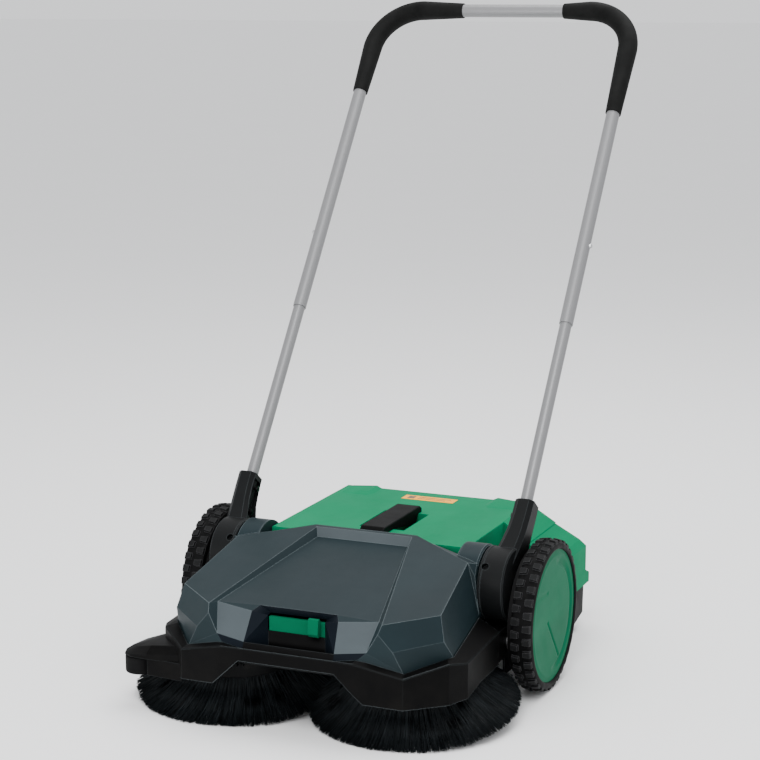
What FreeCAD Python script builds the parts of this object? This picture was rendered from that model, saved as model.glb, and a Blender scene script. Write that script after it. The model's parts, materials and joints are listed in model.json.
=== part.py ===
"""Push lawn sweeper: two driven disc brushes, a dirt container, two wheels and a folding handle.

The machine frame has X to the right seen from the front, -Y to the front and +Z up.  Every
piece is drawn from the wheel axle: Y is 0 above the axle and Z is 0 on the ground.  The
placement of each piece then moves it so that the origin lies under the middle of the machine.
Right pieces (+X) are drawn, and left pieces are their mirror images.
"""
import FreeCAD, Part
import math
import operator
import os
import Sketcher

from FreeCAD import Placement, Rotation, Vector

doc = FreeCAD.newDocument("lawn_sweeper")
sheet = doc.addObject("Spreadsheet::Sheet", "dims")

# Driving dimensions, in millimetres and degrees: alias, value, meaning.
DIMENSIONS = [
    ("y_middle", 123.29, "middle of the machine's length, measured behind the axle"),
    ("wall", 3.0, "moulded wall thickness"),
    # wheels
    ("axle_z", 116.4, "height of the wheel axle"),
    ("tyre_radius", 116.4, "tyre tread radius"),
    ("tyre_seat", 101.0, "radius where the tyre sits on the rim"),
    ("wheel_in", 248.0, "inner face of the wheel"),
    ("wheel_out", 290.0, "outer face of the wheel"),
    ("axle_radius", 8.0, "stub axle radius"),
    ("running", 0.05, "radial clearance of running fits"),
    # gears
    ("wheel_module", 3.0, "module of the wheel gear and the brush gear"),
    ("wheel_teeth", 60, "teeth inside the wheel"),
    ("drive_teeth", 15, "teeth of the pinion driven by the wheel"),
    ("roller_teeth", 10, "teeth of the roller brush gear"),
    ("crown_module", 2.5, "module of the crown gear and its pinion"),
    ("crown_teeth", 20, "teeth of the crown gear"),
    ("crown_pinion_teeth", 12, "teeth of the crown pinion"),
    ("spur_teeth", 26, "teeth of the upright spur gear"),
    ("brush_teeth", 64, "teeth around the brush plate"),
    ("drive_angle", 25.0, "drive shaft below the horizontal ahead of the axle"),
    ("shaft_radius", 6.0, "drive shaft and roller shaft radius"),
    ("roller_angle", 50.2, "roller shaft below the horizontal behind the axle"),
    # disc brushes
    ("brush_x", 137.0, "brush axis from the centre plane"),
    ("brush_y", -186.0, "brush centre ahead of the axle"),
    ("brush_tilt", 8.5, "forward lean of the brush axis"),
    ("brush_radius", 136.0, "bristle tip radius"),
    ("bristle_height", 46.0, "height of the bristles"),
    ("plate_radius", 92.0, "brush plate radius"),
    ("brush_gear_low", 68.0, "underside of the brush gear above the bristle tips"),
    ("brush_gear_width", 5.0, "face width of the brush gear"),
    ("brush_lift", 6.0, "height adjustment of the brushes"),
    ("post_radius", 8.0, "brush post radius"),
    ("bridge_low", 76.0, "underside of the bridge above the bristle tips"),
    ("bridge_high", 84.0, "top of the bridge above the bristle tips"),
    ("deck_low", 92.0, "underside of the chassis deck above the bristle tips"),
    # chassis
    ("chassis_half", 242.0, "half width of the chassis"),
    ("side_half", 238.0, "half width of the chassis beside the wheels"),
    ("side_bottom", 68.0, "bottom edge of the skirt beside the brushes"),
    ("side_foot", 40.0, "bottom edge of the chassis sides at the wheels"),
    ("chassis_front", -338.0, "front edge of the chassis"),
    ("chassis_rear", 122.0, "rear end of the chassis sides"),
    ("skirt_bottom", 60.0, "bottom edge of the front skirt"),
    ("ledge_z", 112.0, "underside of the ledge around the hood"),
    ("deck_half", 196.0, "half width of the deck under the hood"),
    # hood
    ("hood_foot", 115.3, "bottom edge of the hood"),
    ("crest_z", 232.0, "top of the hood at its rear"),
    ("boss_radius", 60.0, "shoulder over the handle pivot"),
    ("boss_face", 200.0, "outer face of the shoulder"),
    # handle
    ("pivot_y", -52.0, "handle pivot ahead of the axle"),
    ("pivot_z", 173.0, "height of the handle pivot"),
    ("lean", 36.6, "backward lean of the handle"),
    ("tube_x", 232.0, "tube centre line from the centre plane"),
    ("lower_tube_radius", 9.5, "lower tube outer radius"),
    ("upper_tube_radius", 11.0, "upper tube outer radius"),
    ("tube_wall", 1.5, "tube wall"),
    ("tube_joint", 440.0, "lower end of the upper tube from the pivot"),
    ("lower_tube_end", 600.0, "upper end of the lower tube from the pivot"),
    ("handle_length", 1040.0, "top bar from the pivot"),
    ("bend_radius", 80.0, "centre line radius of the handle bends"),
    ("button_at", 583.0, "snap buttons from the pivot"),
    ("button_radius", 4.0, "snap button radius"),
    ("drum_radius", 56.0, "pivot drum of the handle bracket"),
    ("arm_end", 137.0, "upper end of the handle bracket from the pivot"),
    ("grip_radius", 16.5, "foam grip radius in the bend"),
    ("grip_end_radius", 13.0, "foam grip radius at its ends"),
    ("pivot_radius", 8.0, "pivot bolt radius"),
    # roller brush
    ("roller_radius", 57.0, "roller brush radius"),
    ("roller_half", 156.0, "half length of the roller brush"),
    # container
    ("container_front", -44.0, "front end of the container top"),
    ("container_neck", 162.0, "half width of the container between the wheels"),
    ("container_half", 240.0, "half width of the container behind the wheels"),
    ("container_step", 125.0, "start of the wide part of the container"),
    ("container_top", 218.0, "top face of the container"),
    ("container_low", 132.0, "bottom edge of the container over the roller brush"),
    ("pan_top", 73.5, "joint between the container and its pan"),
    ("pan_bottom", 13.0, "underside of the pan"),
    # height slider
    ("slider_travel", 50.0, "travel of the height slider"),
    ("slider_front", -297.0, "front face of the height slider"),
    # guide roller
    ("guide_x", 262.0, "guide roller axis from the centre plane"),
    ("guide_y", -290.0, "guide roller axis ahead of the axle"),
    ("guide_radius", 22.0, "guide roller radius"),
]


class Size:
    """A length that carries its present number and the sheet expression that gives it."""

    def __init__(self, number, text):
        self.number = number
        self.text = text

    def __add__(self, other):
        return combine(self, "+", other)

    def __radd__(self, other):
        return combine(other, "+", self)

    def __sub__(self, other):
        return combine(self, "-", other)

    def __rsub__(self, other):
        return combine(other, "-", self)

    def __mul__(self, other):
        return combine(self, "*", other)

    def __rmul__(self, other):
        return combine(other, "*", self)

    def __truediv__(self, other):
        return combine(self, "/", other)

    def __neg__(self):
        return combine(-1, "*", self)


OPERATIONS = {"+": operator.add, "-": operator.sub, "*": operator.mul, "/": operator.truediv}


def as_size(value):
    """Wrap a plain number, so that numbers and sheet sizes mix freely."""
    return value if isinstance(value, Size) else Size(float(value), f"{float(value):.6f}")


def combine(left, sign, right):
    left = as_size(left)
    right = as_size(right)
    return Size(OPERATIONS[sign](left.number, right.number), f"({left.text} {sign} {right.text})")


class Dimensions:
    """Gives each cell of the sheet as a Size, by its alias."""

    def __init__(self, rows):
        self.sizes = {}
        for row, (alias, value, meaning) in enumerate(rows, start=1):
            sheet.set(f"A{row}", meaning)
            sheet.set(f"B{row}", str(value))
            sheet.setAlias(f"B{row}", alias)
            self.sizes[alias] = Size(float(value), f"dims.{alias}")

    def __getattr__(self, alias):
        return self.sizes[alias]


d = Dimensions(DIMENSIONS)
doc.recompute()
nodes = {}


def cosine(degrees):
    return Size(math.cos(math.radians(degrees.number)), f"cos({degrees.text} * 1 deg)")


def sine(degrees):
    return Size(math.sin(math.radians(degrees.number)), f"sin({degrees.text} * 1 deg)")


def bind(target, path, value):
    target.setExpression(path, as_size(value).text)


def unique(kind):
    """A document name for a helper object."""
    return f"{kind}_{len(doc.Objects)}"


# ---------------------------------------------------------------- building blocks

def outline(body, role, points, offset):
    """A closed sketch through the points, each held at its two distances from the origin."""
    sketch = body.newObject("Sketcher::SketchObject", unique("sketch"))
    plane = next(item for item in body.Origin.OriginFeatures if item.Role == role)
    sketch.AttachmentSupport = (plane, [""])
    sketch.MapMode = "FlatFace"
    bind(sketch, "AttachmentOffset.Base.z", offset)
    corners = [(as_size(across), as_size(up)) for across, up in points]
    count = len(corners)
    spots = [Vector(across.number, up.number, 0) for across, up in corners]
    for index in range(count):
        sketch.addGeometry(Part.LineSegment(spots[index], spots[(index + 1) % count]))
    for index in range(count):
        sketch.addConstraint(Sketcher.Constraint("Coincident", index, 2, (index + 1) % count, 1))
    for index, corner in enumerate(corners):
        for kind, size in zip(("DistanceX", "DistanceY"), corner):
            number = sketch.addConstraint(Sketcher.Constraint(kind, -1, 1, index, 1, size.number))
            sketch.setExpression(f"Constraints[{number}]", size.text)
    return sketch


def prism(role, points, start, end):
    """A body that pads an outline on the named origin plane from start to end."""
    body = doc.addObject("PartDesign::Body", unique("prism"))
    sketch = outline(body, role, points, start)
    pad = body.newObject("PartDesign::Pad", unique("pad"))
    pad.Profile = sketch
    bind(pad, "Length", as_size(end) - start)
    sketch.Visibility = False
    return body


def turned(points, axis):
    """A body turned about X (points are X, radius) or about Z (points are radius, Z)."""
    body = doc.addObject("PartDesign::Body", unique("turned"))
    sketch = outline(body, "XZ_Plane", points, 0)
    feature = body.newObject("PartDesign::Revolution", unique("revolution"))
    feature.Profile = sketch
    feature.ReferenceAxis = (sketch, ["H_Axis" if axis == "X" else "V_Axis"])
    feature.Angle = 360
    return body


def rectangle(left, front, right, back):
    return [(left, front), (right, front), (right, back), (left, back)]


def block(low, high):
    """A box between two corners."""
    box = doc.addObject("Part::Box", unique("block"))
    for side, letter, start, end in zip(("Length", "Width", "Height"), "xyz", low, high):
        bind(box, side, as_size(end) - start)
        bind(box, f"Placement.Base.{letter}", start)
    return box


TURNS = {
    "X": Rotation(Vector(0, 1, 0), 90),
    "Y": Rotation(Vector(1, 0, 0), -90),
    "Z": Rotation(),
}


def rod(axis, base, radius, length):
    """A cylinder from its base point along +X, +Y or +Z."""
    cylinder = doc.addObject("Part::Cylinder", unique("rod"))
    cylinder.Placement = Placement(Vector(), TURNS[axis])
    bind(cylinder, "Radius", radius)
    bind(cylinder, "Height", length)
    for letter, value in zip("xyz", base):
        bind(cylinder, f"Placement.Base.{letter}", value)
    return cylinder


def fused(shapes):
    result = doc.addObject("Part::MultiFuse", unique("fuse"))
    result.Shapes = shapes
    return result


def cut(base, tools):
    """The base less every tool."""
    result = doc.addObject("Part::Cut", unique("cut"))
    result.Base = base
    result.Tool = tools[0] if len(tools) == 1 else fused(tools)
    return result


def common(shapes):
    result = doc.addObject("Part::MultiCommon", unique("common"))
    result.Shapes = shapes
    return result


def flipped(source):
    """The mirror image across the centre plane."""
    mirror = doc.addObject("Part::Mirroring", unique("mirror"))
    mirror.Source = source
    mirror.Normal = Vector(1, 0, 0)
    return mirror


def both_sides(source):
    return fused([source, flipped(source)])


def free_form(shape):
    """A feature for a form that sketches and primitives do not give."""
    feature = doc.addObject("Part::Feature", unique("form"))
    feature.Shape = shape.transformed(FreeCAD.Matrix(), True)
    return feature


def moved(shape, placement):
    """The shape with a placement worked into its geometry."""
    return shape.transformed(placement.toMatrix(), True)


def place(item, x=0, y=0, z=0, tilt=0):
    """Move a piece to its place: y is from the axle, and tilt turns it about X."""
    item.Placement = Placement(Vector(), Rotation(Vector(1, 0, 0), as_size(tilt).number or 1e-9))
    bind(item, "Placement.Rotation.Angle", tilt)
    bind(item, "Placement.Base.x", x)
    bind(item, "Placement.Base.y", as_size(y) - d.y_middle)
    bind(item, "Placement.Base.z", z)
    return item


def node(label, item):
    item.Label = label
    nodes[label] = item
    return item


def pair(label, right):
    """Keep a right-hand piece and its mirror image as two nodes."""
    node(f"{label}_right", right)
    node(f"{label}_left", flipped(right))


# ---------------------------------------------------------------- gears

TOOTH_TALL = 0.85
TOOTH_DEEP = 1.15
TOOTH_THICK = 0.40
FLANK = math.tan(math.radians(20))


def tooth_outline(teeth, module, phase, inside):
    """Corners of a toothed ring: straight flanks, with free play between meshing teeth."""
    pitch_radius = module * teeth / 2
    direction = -1 if inside else 1
    tip = pitch_radius + direction * TOOTH_TALL * module
    root = pitch_radius - direction * TOOTH_DEEP * module
    half_pitch = TOOTH_THICK * math.pi * module / 2
    half_tip = half_pitch - TOOTH_TALL * module * FLANK
    half_root = half_pitch + TOOTH_DEEP * module * FLANK
    corners = []
    for index in range(teeth):
        middle = math.radians(phase + index * 360 / teeth)
        for radius, half in ((root, -half_root), (tip, -half_tip), (tip, half_tip), (root, half_root)):
            angle = middle + half / radius
            corners.append(Vector(radius * math.cos(angle), radius * math.sin(angle), 0))
    corners.append(corners[0])
    return Part.Face(Part.makePolygon(corners))


def gear(teeth, module, phase, low, high, hole, axis):
    """A toothed wheel about Z or X, from low to high along its axis."""
    outer = tooth_outline(int(teeth.number), module.number, phase, False)
    start = as_size(low).number
    length = as_size(high).number - start
    solid = outer.extrude(Vector(0, 0, length))
    solid = solid.cut(Part.makeCylinder(as_size(hole).number, length))
    return free_form(along(axis, solid, start))


def inner_gear(teeth, module, phase, low, high, outside):
    """A ring about X with teeth pointing inwards."""
    hollow = tooth_outline(int(teeth.number), module.number, phase, True)
    start = as_size(low).number
    length = as_size(high).number - start
    ring = Part.makeCylinder(as_size(outside).number, length)
    ring = ring.cut(hollow.extrude(Vector(0, 0, length)))
    return free_form(along("X", ring, start))


def along(axis, solid, start):
    """Turn a solid drawn along +Z to its axis, and start it at a distance along that axis."""
    return moved(solid, Placement(TURNS[axis].multVec(Vector(0, 0, start)), TURNS[axis]))


def crown_teeth(tip, root, inner, outer):
    """Radial teeth on the underside of the upright gear, narrower at their tips."""
    teeth = int(d.crown_teeth.number)
    pitch = 2 * math.pi / teeth
    solids = []
    for index in range(teeth):
        middle = (index + 0.5) * pitch
        wires = []
        for radius in (inner, outer):
            corners = []
            for height, half in ((root, -0.17), (tip, -0.09), (tip, 0.09), (root, 0.17)):
                angle = middle + half * pitch
                corners.append(Vector(radius * math.cos(angle), radius * math.sin(angle), height))
            corners.append(corners[0])
            wires.append(Part.makePolygon(corners))
        solids.append(Part.makeLoft(wires, True, True))
    return free_form(Part.makeCompound(solids))


WHEEL_PITCH = d.wheel_module * d.wheel_teeth / 2
DRIVE_DISTANCE = d.wheel_module * (d.wheel_teeth - d.drive_teeth) / 2
ROLLER_DISTANCE = d.wheel_module * (d.wheel_teeth - d.roller_teeth) / 2
DRIVE_Y = -DRIVE_DISTANCE * cosine(d.drive_angle)
DRIVE_Z = d.axle_z - DRIVE_DISTANCE * sine(d.drive_angle)
ROLLER_Y = ROLLER_DISTANCE * cosine(d.roller_angle)
ROLLER_Z = d.axle_z - ROLLER_DISTANCE * sine(d.roller_angle)

# Angles about X are counted from -Z towards +Y, as the rotated gear outlines are.
DRIVE_PHASE = -(90 - d.drive_angle.number)
ROLLER_PHASE = 90 - d.roller_angle.number
RING_PITCH = 360 / d.wheel_teeth.number
RING_OFFSET = (ROLLER_PHASE - DRIVE_PHASE) % RING_PITCH
ROLLER_TOOTH = ROLLER_PHASE - RING_OFFSET * d.wheel_teeth.number / d.roller_teeth.number

# The brush frame stands at the middle of the bristle tips: y runs back along the tips, z up.
TIP_Z = d.brush_radius * sine(d.brush_tilt)
TILT_COS = cosine(d.brush_tilt)
TILT_SIN = sine(d.brush_tilt)
SHAFT_BACK = (DRIVE_Y - d.brush_y) * TILT_COS + (DRIVE_Z - TIP_Z) * TILT_SIN
SHAFT_UP = (DRIVE_Z - TIP_Z) * TILT_COS - (DRIVE_Y - d.brush_y) * TILT_SIN
MESH_DISTANCE = d.wheel_module * (d.brush_teeth + d.spur_teeth) / 2
UPRIGHT_X = math.sqrt(MESH_DISTANCE.number ** 2 - SHAFT_BACK.number ** 2)
MESH_ANGLE = math.degrees(math.atan2(SHAFT_BACK.number, UPRIGHT_X))
CROWN_RADIUS = d.crown_module * d.crown_teeth / 2
CROWN_PITCH_Z = SHAFT_UP + d.crown_module * d.crown_pinion_teeth / 2
CROWN_TIP_Z = CROWN_PITCH_Z - TOOTH_TALL * d.crown_module
CROWN_ROOT_Z = CROWN_PITCH_Z + TOOTH_DEEP * d.crown_module
SPUR_TOP = d.brush_gear_low + d.brush_gear_width + d.brush_lift + 1


def in_brush_frame(item):
    return place(item, d.brush_x, d.brush_y, TIP_Z, d.brush_tilt)


def in_handle_frame(item):
    return place(item, 0, d.pivot_y, d.pivot_z, -d.lean)


# ---------------------------------------------------------------- wheels and axles

def make_wheels():
    inner = d.wheel_in
    outer = d.wheel_out
    seat = d.tyre_seat
    tread = d.tyre_radius
    shoulder = tread - 4.4
    tyre = turned([
        (inner + 1, seat), (inner, shoulder), (inner + 4, tread), (outer - 4, tread),
        (outer, shoulder), (outer - 2, seat),
    ], "X")

    hole = d.axle_radius + d.running
    hub = 18
    web_in = inner + 18
    web_out = inner + 22
    ring_back = WHEEL_PITCH + 4
    disc_edge = outer - 6
    body = turned([
        (inner + 4, hole), (inner + 4, hub), (web_in, hub), (web_in, ring_back),
        (inner + 1, ring_back), (inner + 1, seat), (disc_edge, seat),
        (disc_edge, seat - d.wall), (web_out, seat - d.wall), (web_out, hub),
        (disc_edge - 1, hub), (disc_edge - 1, hole),
    ], "X")
    ring = inner_gear(d.wheel_teeth, d.wheel_module, DRIVE_PHASE - RING_PITCH / 2,
                      inner + 2, inner + 14, ring_back + 2)
    rim = fused([body, ring])

    cap_back = disc_edge + 0.3
    dome = 52
    cap = turned([
        (outer - 4, 0), (outer - 4, 90), (cap_back, seat - 3), (cap_back, seat),
        (outer - 4.2, seat), (outer - 1.2, 92), (outer, dome), (outer, 0),
    ], "X")

    collar = 12
    head = 13
    head_in = disc_edge - 0.9
    head_out = disc_edge + 0.4
    axle = turned([
        (226, 0), (226, d.axle_radius), (d.side_half, d.axle_radius), (d.side_half, collar),
        (inner + 3.5, collar), (inner + 3.5, d.axle_radius), (head_in, d.axle_radius),
        (head_in, head), (head_out, head), (head_out, 0),
    ], "X")
    for label, item in (("tyre", tyre), ("rim", rim), ("wheel_cap", cap), ("stub_axle", axle)):
        pair(label, place(item, 0, 0, d.axle_z))


# ---------------------------------------------------------------- brush drive

def make_drive():
    inner = d.wheel_in
    ring_low = inner + 2.5
    ring_high = inner + 13.5
    shaft = d.shaft_radius
    middle = UPRIGHT_X - CROWN_RADIUS
    shaft_start = d.brush_x + middle - 6
    drive_shaft = rod("X", (0, 0, 0), shaft, inner + 16 - shaft_start)
    pair("drive_shaft", place_rod(drive_shaft, shaft_start, DRIVE_Y, DRIVE_Z))
    pinion = gear(d.drive_teeth, d.wheel_module, DRIVE_PHASE, ring_low, ring_high, shaft, "X")
    pair("wheel_pinion", place(pinion, 0, DRIVE_Y, DRIVE_Z))
    crown_pinion = gear(d.crown_pinion_teeth, d.crown_module, 180, middle - 3, middle + 3,
                        shaft, "X")
    on_shaft = Placement(Vector(0, SHAFT_BACK.number, SHAFT_UP.number), Rotation())
    crown_pinion.Shape = moved(crown_pinion.Shape, on_shaft)
    pair("crown_pinion", in_brush_frame(crown_pinion))

    spur_phase = MESH_ANGLE + 180 + 180 / d.spur_teeth.number
    pin = 5
    bore = pin + d.running
    hub_low = SHAFT_UP + shaft + 3
    hub_high = CROWN_ROOT_Z + 0.5
    face_half = 4
    spur = gear(d.spur_teeth, d.wheel_module, spur_phase, CROWN_ROOT_Z, SPUR_TOP, bore, "Z")
    teeth = crown_teeth(CROWN_TIP_Z.number, hub_high.number,
                        CROWN_RADIUS.number - face_half, CROWN_RADIUS.number + face_half)
    hub = cut(rod("Z", (0, 0, hub_low), 9, hub_high - hub_low),
              [rod("Z", (0, 0, hub_low - 2), bore, 20)])
    pair("upright_gear", place(fused([spur, teeth, hub]), d.brush_x + UPRIGHT_X,
                               d.brush_y + SHAFT_BACK * TILT_COS,
                               TIP_Z + SHAFT_BACK * TILT_SIN, d.brush_tilt))

    pin_low = hub_low - 2
    collar_low = SPUR_TOP + 0.5
    gear_pin = fused([
        rod("Z", (UPRIGHT_X, SHAFT_BACK, pin_low), pin, d.deck_low - pin_low),
        rod("Z", (UPRIGHT_X, SHAFT_BACK, pin_low), 8, 1.6),
        rod("Z", (UPRIGHT_X, SHAFT_BACK, collar_low), 9, d.deck_low - 4 - collar_low),
    ])
    pair("gear_pin", in_brush_frame(gear_pin))

    wall_inside = d.side_half - d.wall - d.brush_x
    plate_low = 38
    plate_high = 42
    first_lug = middle + 5
    plate = block((first_lug, SHAFT_BACK - 14, plate_low), (wall_inside, SHAFT_BACK + 14, plate_high))
    lugs = [block((start, SHAFT_BACK - 12, plate_high), (start + 8, SHAFT_BACK + 12, SHAFT_UP + 10))
            for start in (first_lug, first_lug + 70)]
    shaft_hole = rod("X", (middle, SHAFT_BACK, SHAFT_UP), shaft + d.running, 100)
    pair("gear_bracket", in_brush_frame(cut(fused([plate, *lugs]), [shaft_hole])))
    hanger_half = 16
    hanger = cut(block((UPRIGHT_X - hanger_half, 74, d.deck_low - 4),
                       (UPRIGHT_X + hanger_half, SHAFT_BACK + 14, d.deck_low)),
                 [rod("Z", (UPRIGHT_X, SHAFT_BACK, 60), pin, 60)])
    pair("gear_hanger", in_brush_frame(hanger))


def place_rod(item, x, y, z):
    """Place a rod that already points along X."""
    bind(item, "Placement.Base.x", x)
    bind(item, "Placement.Base.y", as_size(y) - d.y_middle)
    bind(item, "Placement.Base.z", z)
    return item


# ---------------------------------------------------------------- disc brushes and their bridge

def make_brushes():
    hole = d.post_radius + d.running
    low = d.bristle_height
    gear_low = d.brush_gear_low
    plate = turned([
        (hole, low - 6), (14, low - 6), (14, low), (d.plate_radius, low),
        (d.plate_radius, gear_low + 1), (d.plate_radius - 6, gear_low + 1),
        (d.plate_radius - 6, low + 4), (14, low + 4), (14, low + 20), (hole, low + 20),
    ], "Z")
    teeth = gear(d.brush_teeth, d.wheel_module, MESH_ANGLE, gear_low,
                 gear_low + d.brush_gear_width, d.plate_radius - 6, "Z")
    pair("brush_plate", in_brush_frame(fused([plate, teeth])))
    bristles = turned([
        (d.brush_radius - 44, 0), (d.brush_radius, 0), (d.brush_radius - 41, low), (70, low),
    ], "Z")
    pair("brush_bristles", in_brush_frame(bristles))
    nut = turned([
        (0, low - 14), (12, low - 14), (12, low - 6.5), (0, low - 6.5),
    ], "Z")
    node("brush_nuts", both_sides(in_brush_frame(nut)))
    post = turned([
        (0, low - 6.5), (d.post_radius, low - 6.5), (d.post_radius, low + 20.5),
        (13, low + 20.5), (13, d.bridge_low), (0, d.bridge_low),
    ], "Z")
    pair("brush_post", in_brush_frame(post))


CAM_Z = 119
CAM_FRONT = -274
PIN_RADIUS = 3


def make_bridge():
    """The beam that carries both brushes, with the post that the height slider lifts."""
    reach = d.brush_x + 16
    post_back = (-260 - d.brush_y) * TILT_COS + (CAM_Z - TIP_Z) * TILT_SIN
    beam = block((-reach, -22, d.bridge_low), (reach, 22, d.bridge_high))
    arm = block((-14, post_back - 4, d.bridge_low), (14, -21, d.bridge_high))
    top = (CAM_Z + 6 - TIP_Z) * TILT_COS + (260 + d.brush_y) * TILT_SIN
    post = block((-7, post_back - 4, d.bridge_low), (7, post_back + 4, top))
    guides = both_sides(rod("Z", (60, 0, 60), 5.3, 40))
    bridge = in_bridge_frame(cut(fused([beam, arm, post]), [guides]))
    node("brush_bridge", bridge)
    node("cam_pin", place_rod(rod("Y", (0, 0, 0), PIN_RADIUS, 12), 0, CAM_FRONT - 2, CAM_Z))


def in_bridge_frame(item):
    return place(item, 0, d.brush_y, TIP_Z, d.brush_tilt)


def make_slider():
    """Green bar in the hood window, with a thumb tab and a slanted cam slot behind it."""
    front = d.slider_front
    travel = d.slider_travel
    bar_low = 140
    bar_high = 161
    bar_half = 44
    bar = block((-bar_half, front, bar_low), (bar_half + travel, front + 6, bar_high))
    tab = prism("YZ_Plane", [
        (front - 12, 146), (front - 10, 167), (front - 5, 168), (front + 1, bar_high),
        (front + 1, bar_low + 1), (front - 8, bar_low + 1),
    ], 22, 38)
    web_left = -12
    web_right = travel + 12
    web = block((web_left, front + 5, bar_low - 3), (web_right, CAM_FRONT + 1, bar_low + 0.5))
    cam = block((web_left, CAM_FRONT, CAM_Z - 11), (web_right, CAM_FRONT + 4, bar_low))
    rise = d.brush_lift * TILT_COS
    half = PIN_RADIUS + 0.3
    low = CAM_Z - half - 0.4
    high = CAM_Z + half + 0.4
    slot = prism("XZ_Plane", [
        (-half, CAM_Z - half), (0, low), (half + travel, low + rise),
        (half + travel, high + rise), (travel, high + rise), (-half, high),
    ], -CAM_FRONT - 8, -CAM_FRONT + 4)
    slider = cut(fused([bar, tab, web, cam]), [slot])
    node("height_slider", place(slider))
    guide = block((-70, front + 6.3, bar_low + 1.5), (travel + 40, front + 9, bar_high + 4))
    node("slider_guide", place(guide))


# ---------------------------------------------------------------- chassis

def chassis_outline(inset):
    """Plan of the chassis, going round from the rear right corner."""
    half = d.chassis_half - inset
    side = d.side_half - inset
    front = d.chassis_front + inset
    right = [
        (side, d.chassis_rear - inset), (side, -116 - inset), (half, -124), (half, -245 + inset * 0.3),
        (226 - inset * 0.8, -277 + inset * 0.6), (174 - inset * 0.4, front + 15),
        (104, front), (95, front + 8), (66, front + 8),
    ]
    left = [(-as_size(x), y) for x, y in reversed(right)]
    return right + left


def make_chassis():
    wall = d.wall
    rear = d.chassis_rear
    ledge_top = d.ledge_z + wall
    outer = prism("XY_Plane", chassis_outline(0), d.side_foot, ledge_top)
    inner = prism("XY_Plane", chassis_outline(wall), d.side_foot - 10, d.ledge_z)
    well = block((-190, -290, 0), (190, rear + 5, 400))
    rear_open = block((-d.side_half + wall, rear - 10, 0), (d.side_half - wall, rear + 5, d.ledge_z))
    front_gap = block((-78, -345, 0), (78, -280, 98))
    front_low = block((-250, -345, 0), (250, -80, d.skirt_bottom))
    side_low = block((-250, -230, 0), (250, -80, d.side_bottom))
    gear_room = block((-204, -111, 60), (204, -16, 123))
    shell = cut(outer, [inner, well, rear_open, front_gap, front_low, side_low, gear_room])

    deck = cut(
        common([
            on_brush_plane(prism("XY_Plane", rectangle(-d.deck_half, -150, d.deck_half, 92),
                                 d.deck_low, d.deck_low + wall)),
            prism("XY_Plane", chassis_outline(wall - 0.5), 0, 200),
        ]),
        [block((-12, -270, 0), (12, -248, 200))],
    )
    guides = on_brush_plane(both_sides(rod("Z", (60, 0, d.bridge_low - 4), 5,
                                           d.deck_low - d.bridge_low + 5)))
    wing_face = d.boss_face - 8
    wing = prism("YZ_Plane", [
        (-205, d.ledge_z), (-116, d.ledge_z), (-114, 124), (-14, 139), (-8, d.pivot_z),
        (-22, 203), (-52, 218), (-84, 203), (-140, 140), (-205, 118),
    ], wing_face - 6, wing_face)
    shelf = block((container_shelf(), 12, d.ledge_z), (d.side_half - 1, rear, ledge_top))
    axle_boss = rod("X", (224, 0, d.axle_z), 20, d.side_half - 224)
    right_solids = fused([wing, shelf, axle_boss])
    body = fused([shell, deck, guides, both_sides(right_solids)])

    holes = fused([
        rod("X", (wing_face - 10, d.pivot_y, d.pivot_z), d.pivot_radius, 20),
        rod("X", (220, 0, d.axle_z), d.axle_radius, 30),
        rod("X", (220, DRIVE_Y, DRIVE_Z), 9, 30),
        rod("X", (220, ROLLER_Y, ROLLER_Z), 9, 30),
        rod("Z", (205, -215, 100), 2.5, 30),
        rod("Z", (150, -300, 80), 2.5, 50),
    ])
    chassis = cut(body, [both_sides(holes)])
    node("chassis", place(chassis))

    bush_body = [
        (d.side_half - wall, d.shaft_radius + d.running), (d.side_half - wall, 9),
        (d.side_half, 9), (d.side_half, 12), (d.side_half + 2, 12),
        (d.side_half + 2, d.shaft_radius + d.running),
    ]
    bushes = []
    for y, z in ((DRIVE_Y, DRIVE_Z), (ROLLER_Y, ROLLER_Z)):
        bush = turned(bush_body, "X")
        bind(bush, "Placement.Base.y", y)
        bind(bush, "Placement.Base.z", z)
        bushes.append(both_sides(bush))
    node("shaft_bushes", place(fused(bushes)))


def container_shelf():
    """Inner edge of the chassis shelf that the container rests on."""
    return d.container_neck + 4


def on_brush_plane(solid):
    """Stand a helper solid on the plane of the bristle tips, measured from the wheel axle."""
    solid.Placement = Placement(Vector(), Rotation(Vector(1, 0, 0), d.brush_tilt.number))
    bind(solid, "Placement.Rotation.Angle", d.brush_tilt)
    bind(solid, "Placement.Base.y", d.brush_y)
    bind(solid, "Placement.Base.z", TIP_Z)
    return solid


# ---------------------------------------------------------------- hood

def facets(corners, faces):
    """A solid from named corners; a face with more than three corners is a fan of triangles."""
    triangles = []
    for face in faces:
        for index in range(1, len(face) - 1):
            spots = [Vector(*corners[name]) for name in (face[0], face[index], face[index + 1])]
            triangles.append(Part.Face(Part.makePolygon(spots + spots[:1])))
    shell = Part.Shell(triangles)
    shell.sewShape()
    solid = Part.Solid(shell)
    if solid.Volume < 0:
        solid.reverse()
    return solid


def mirrored_corners(right):
    """Right-hand corners get their left-hand twins, named with a leading minus sign."""
    corners = dict(right)
    for name, (x, y, z) in right.items():
        corners["-" + name] = (-x, y, z)
    return corners


def mirrored_faces(right):
    return right + [["-" + name for name in reversed(face)] for face in right]


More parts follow.
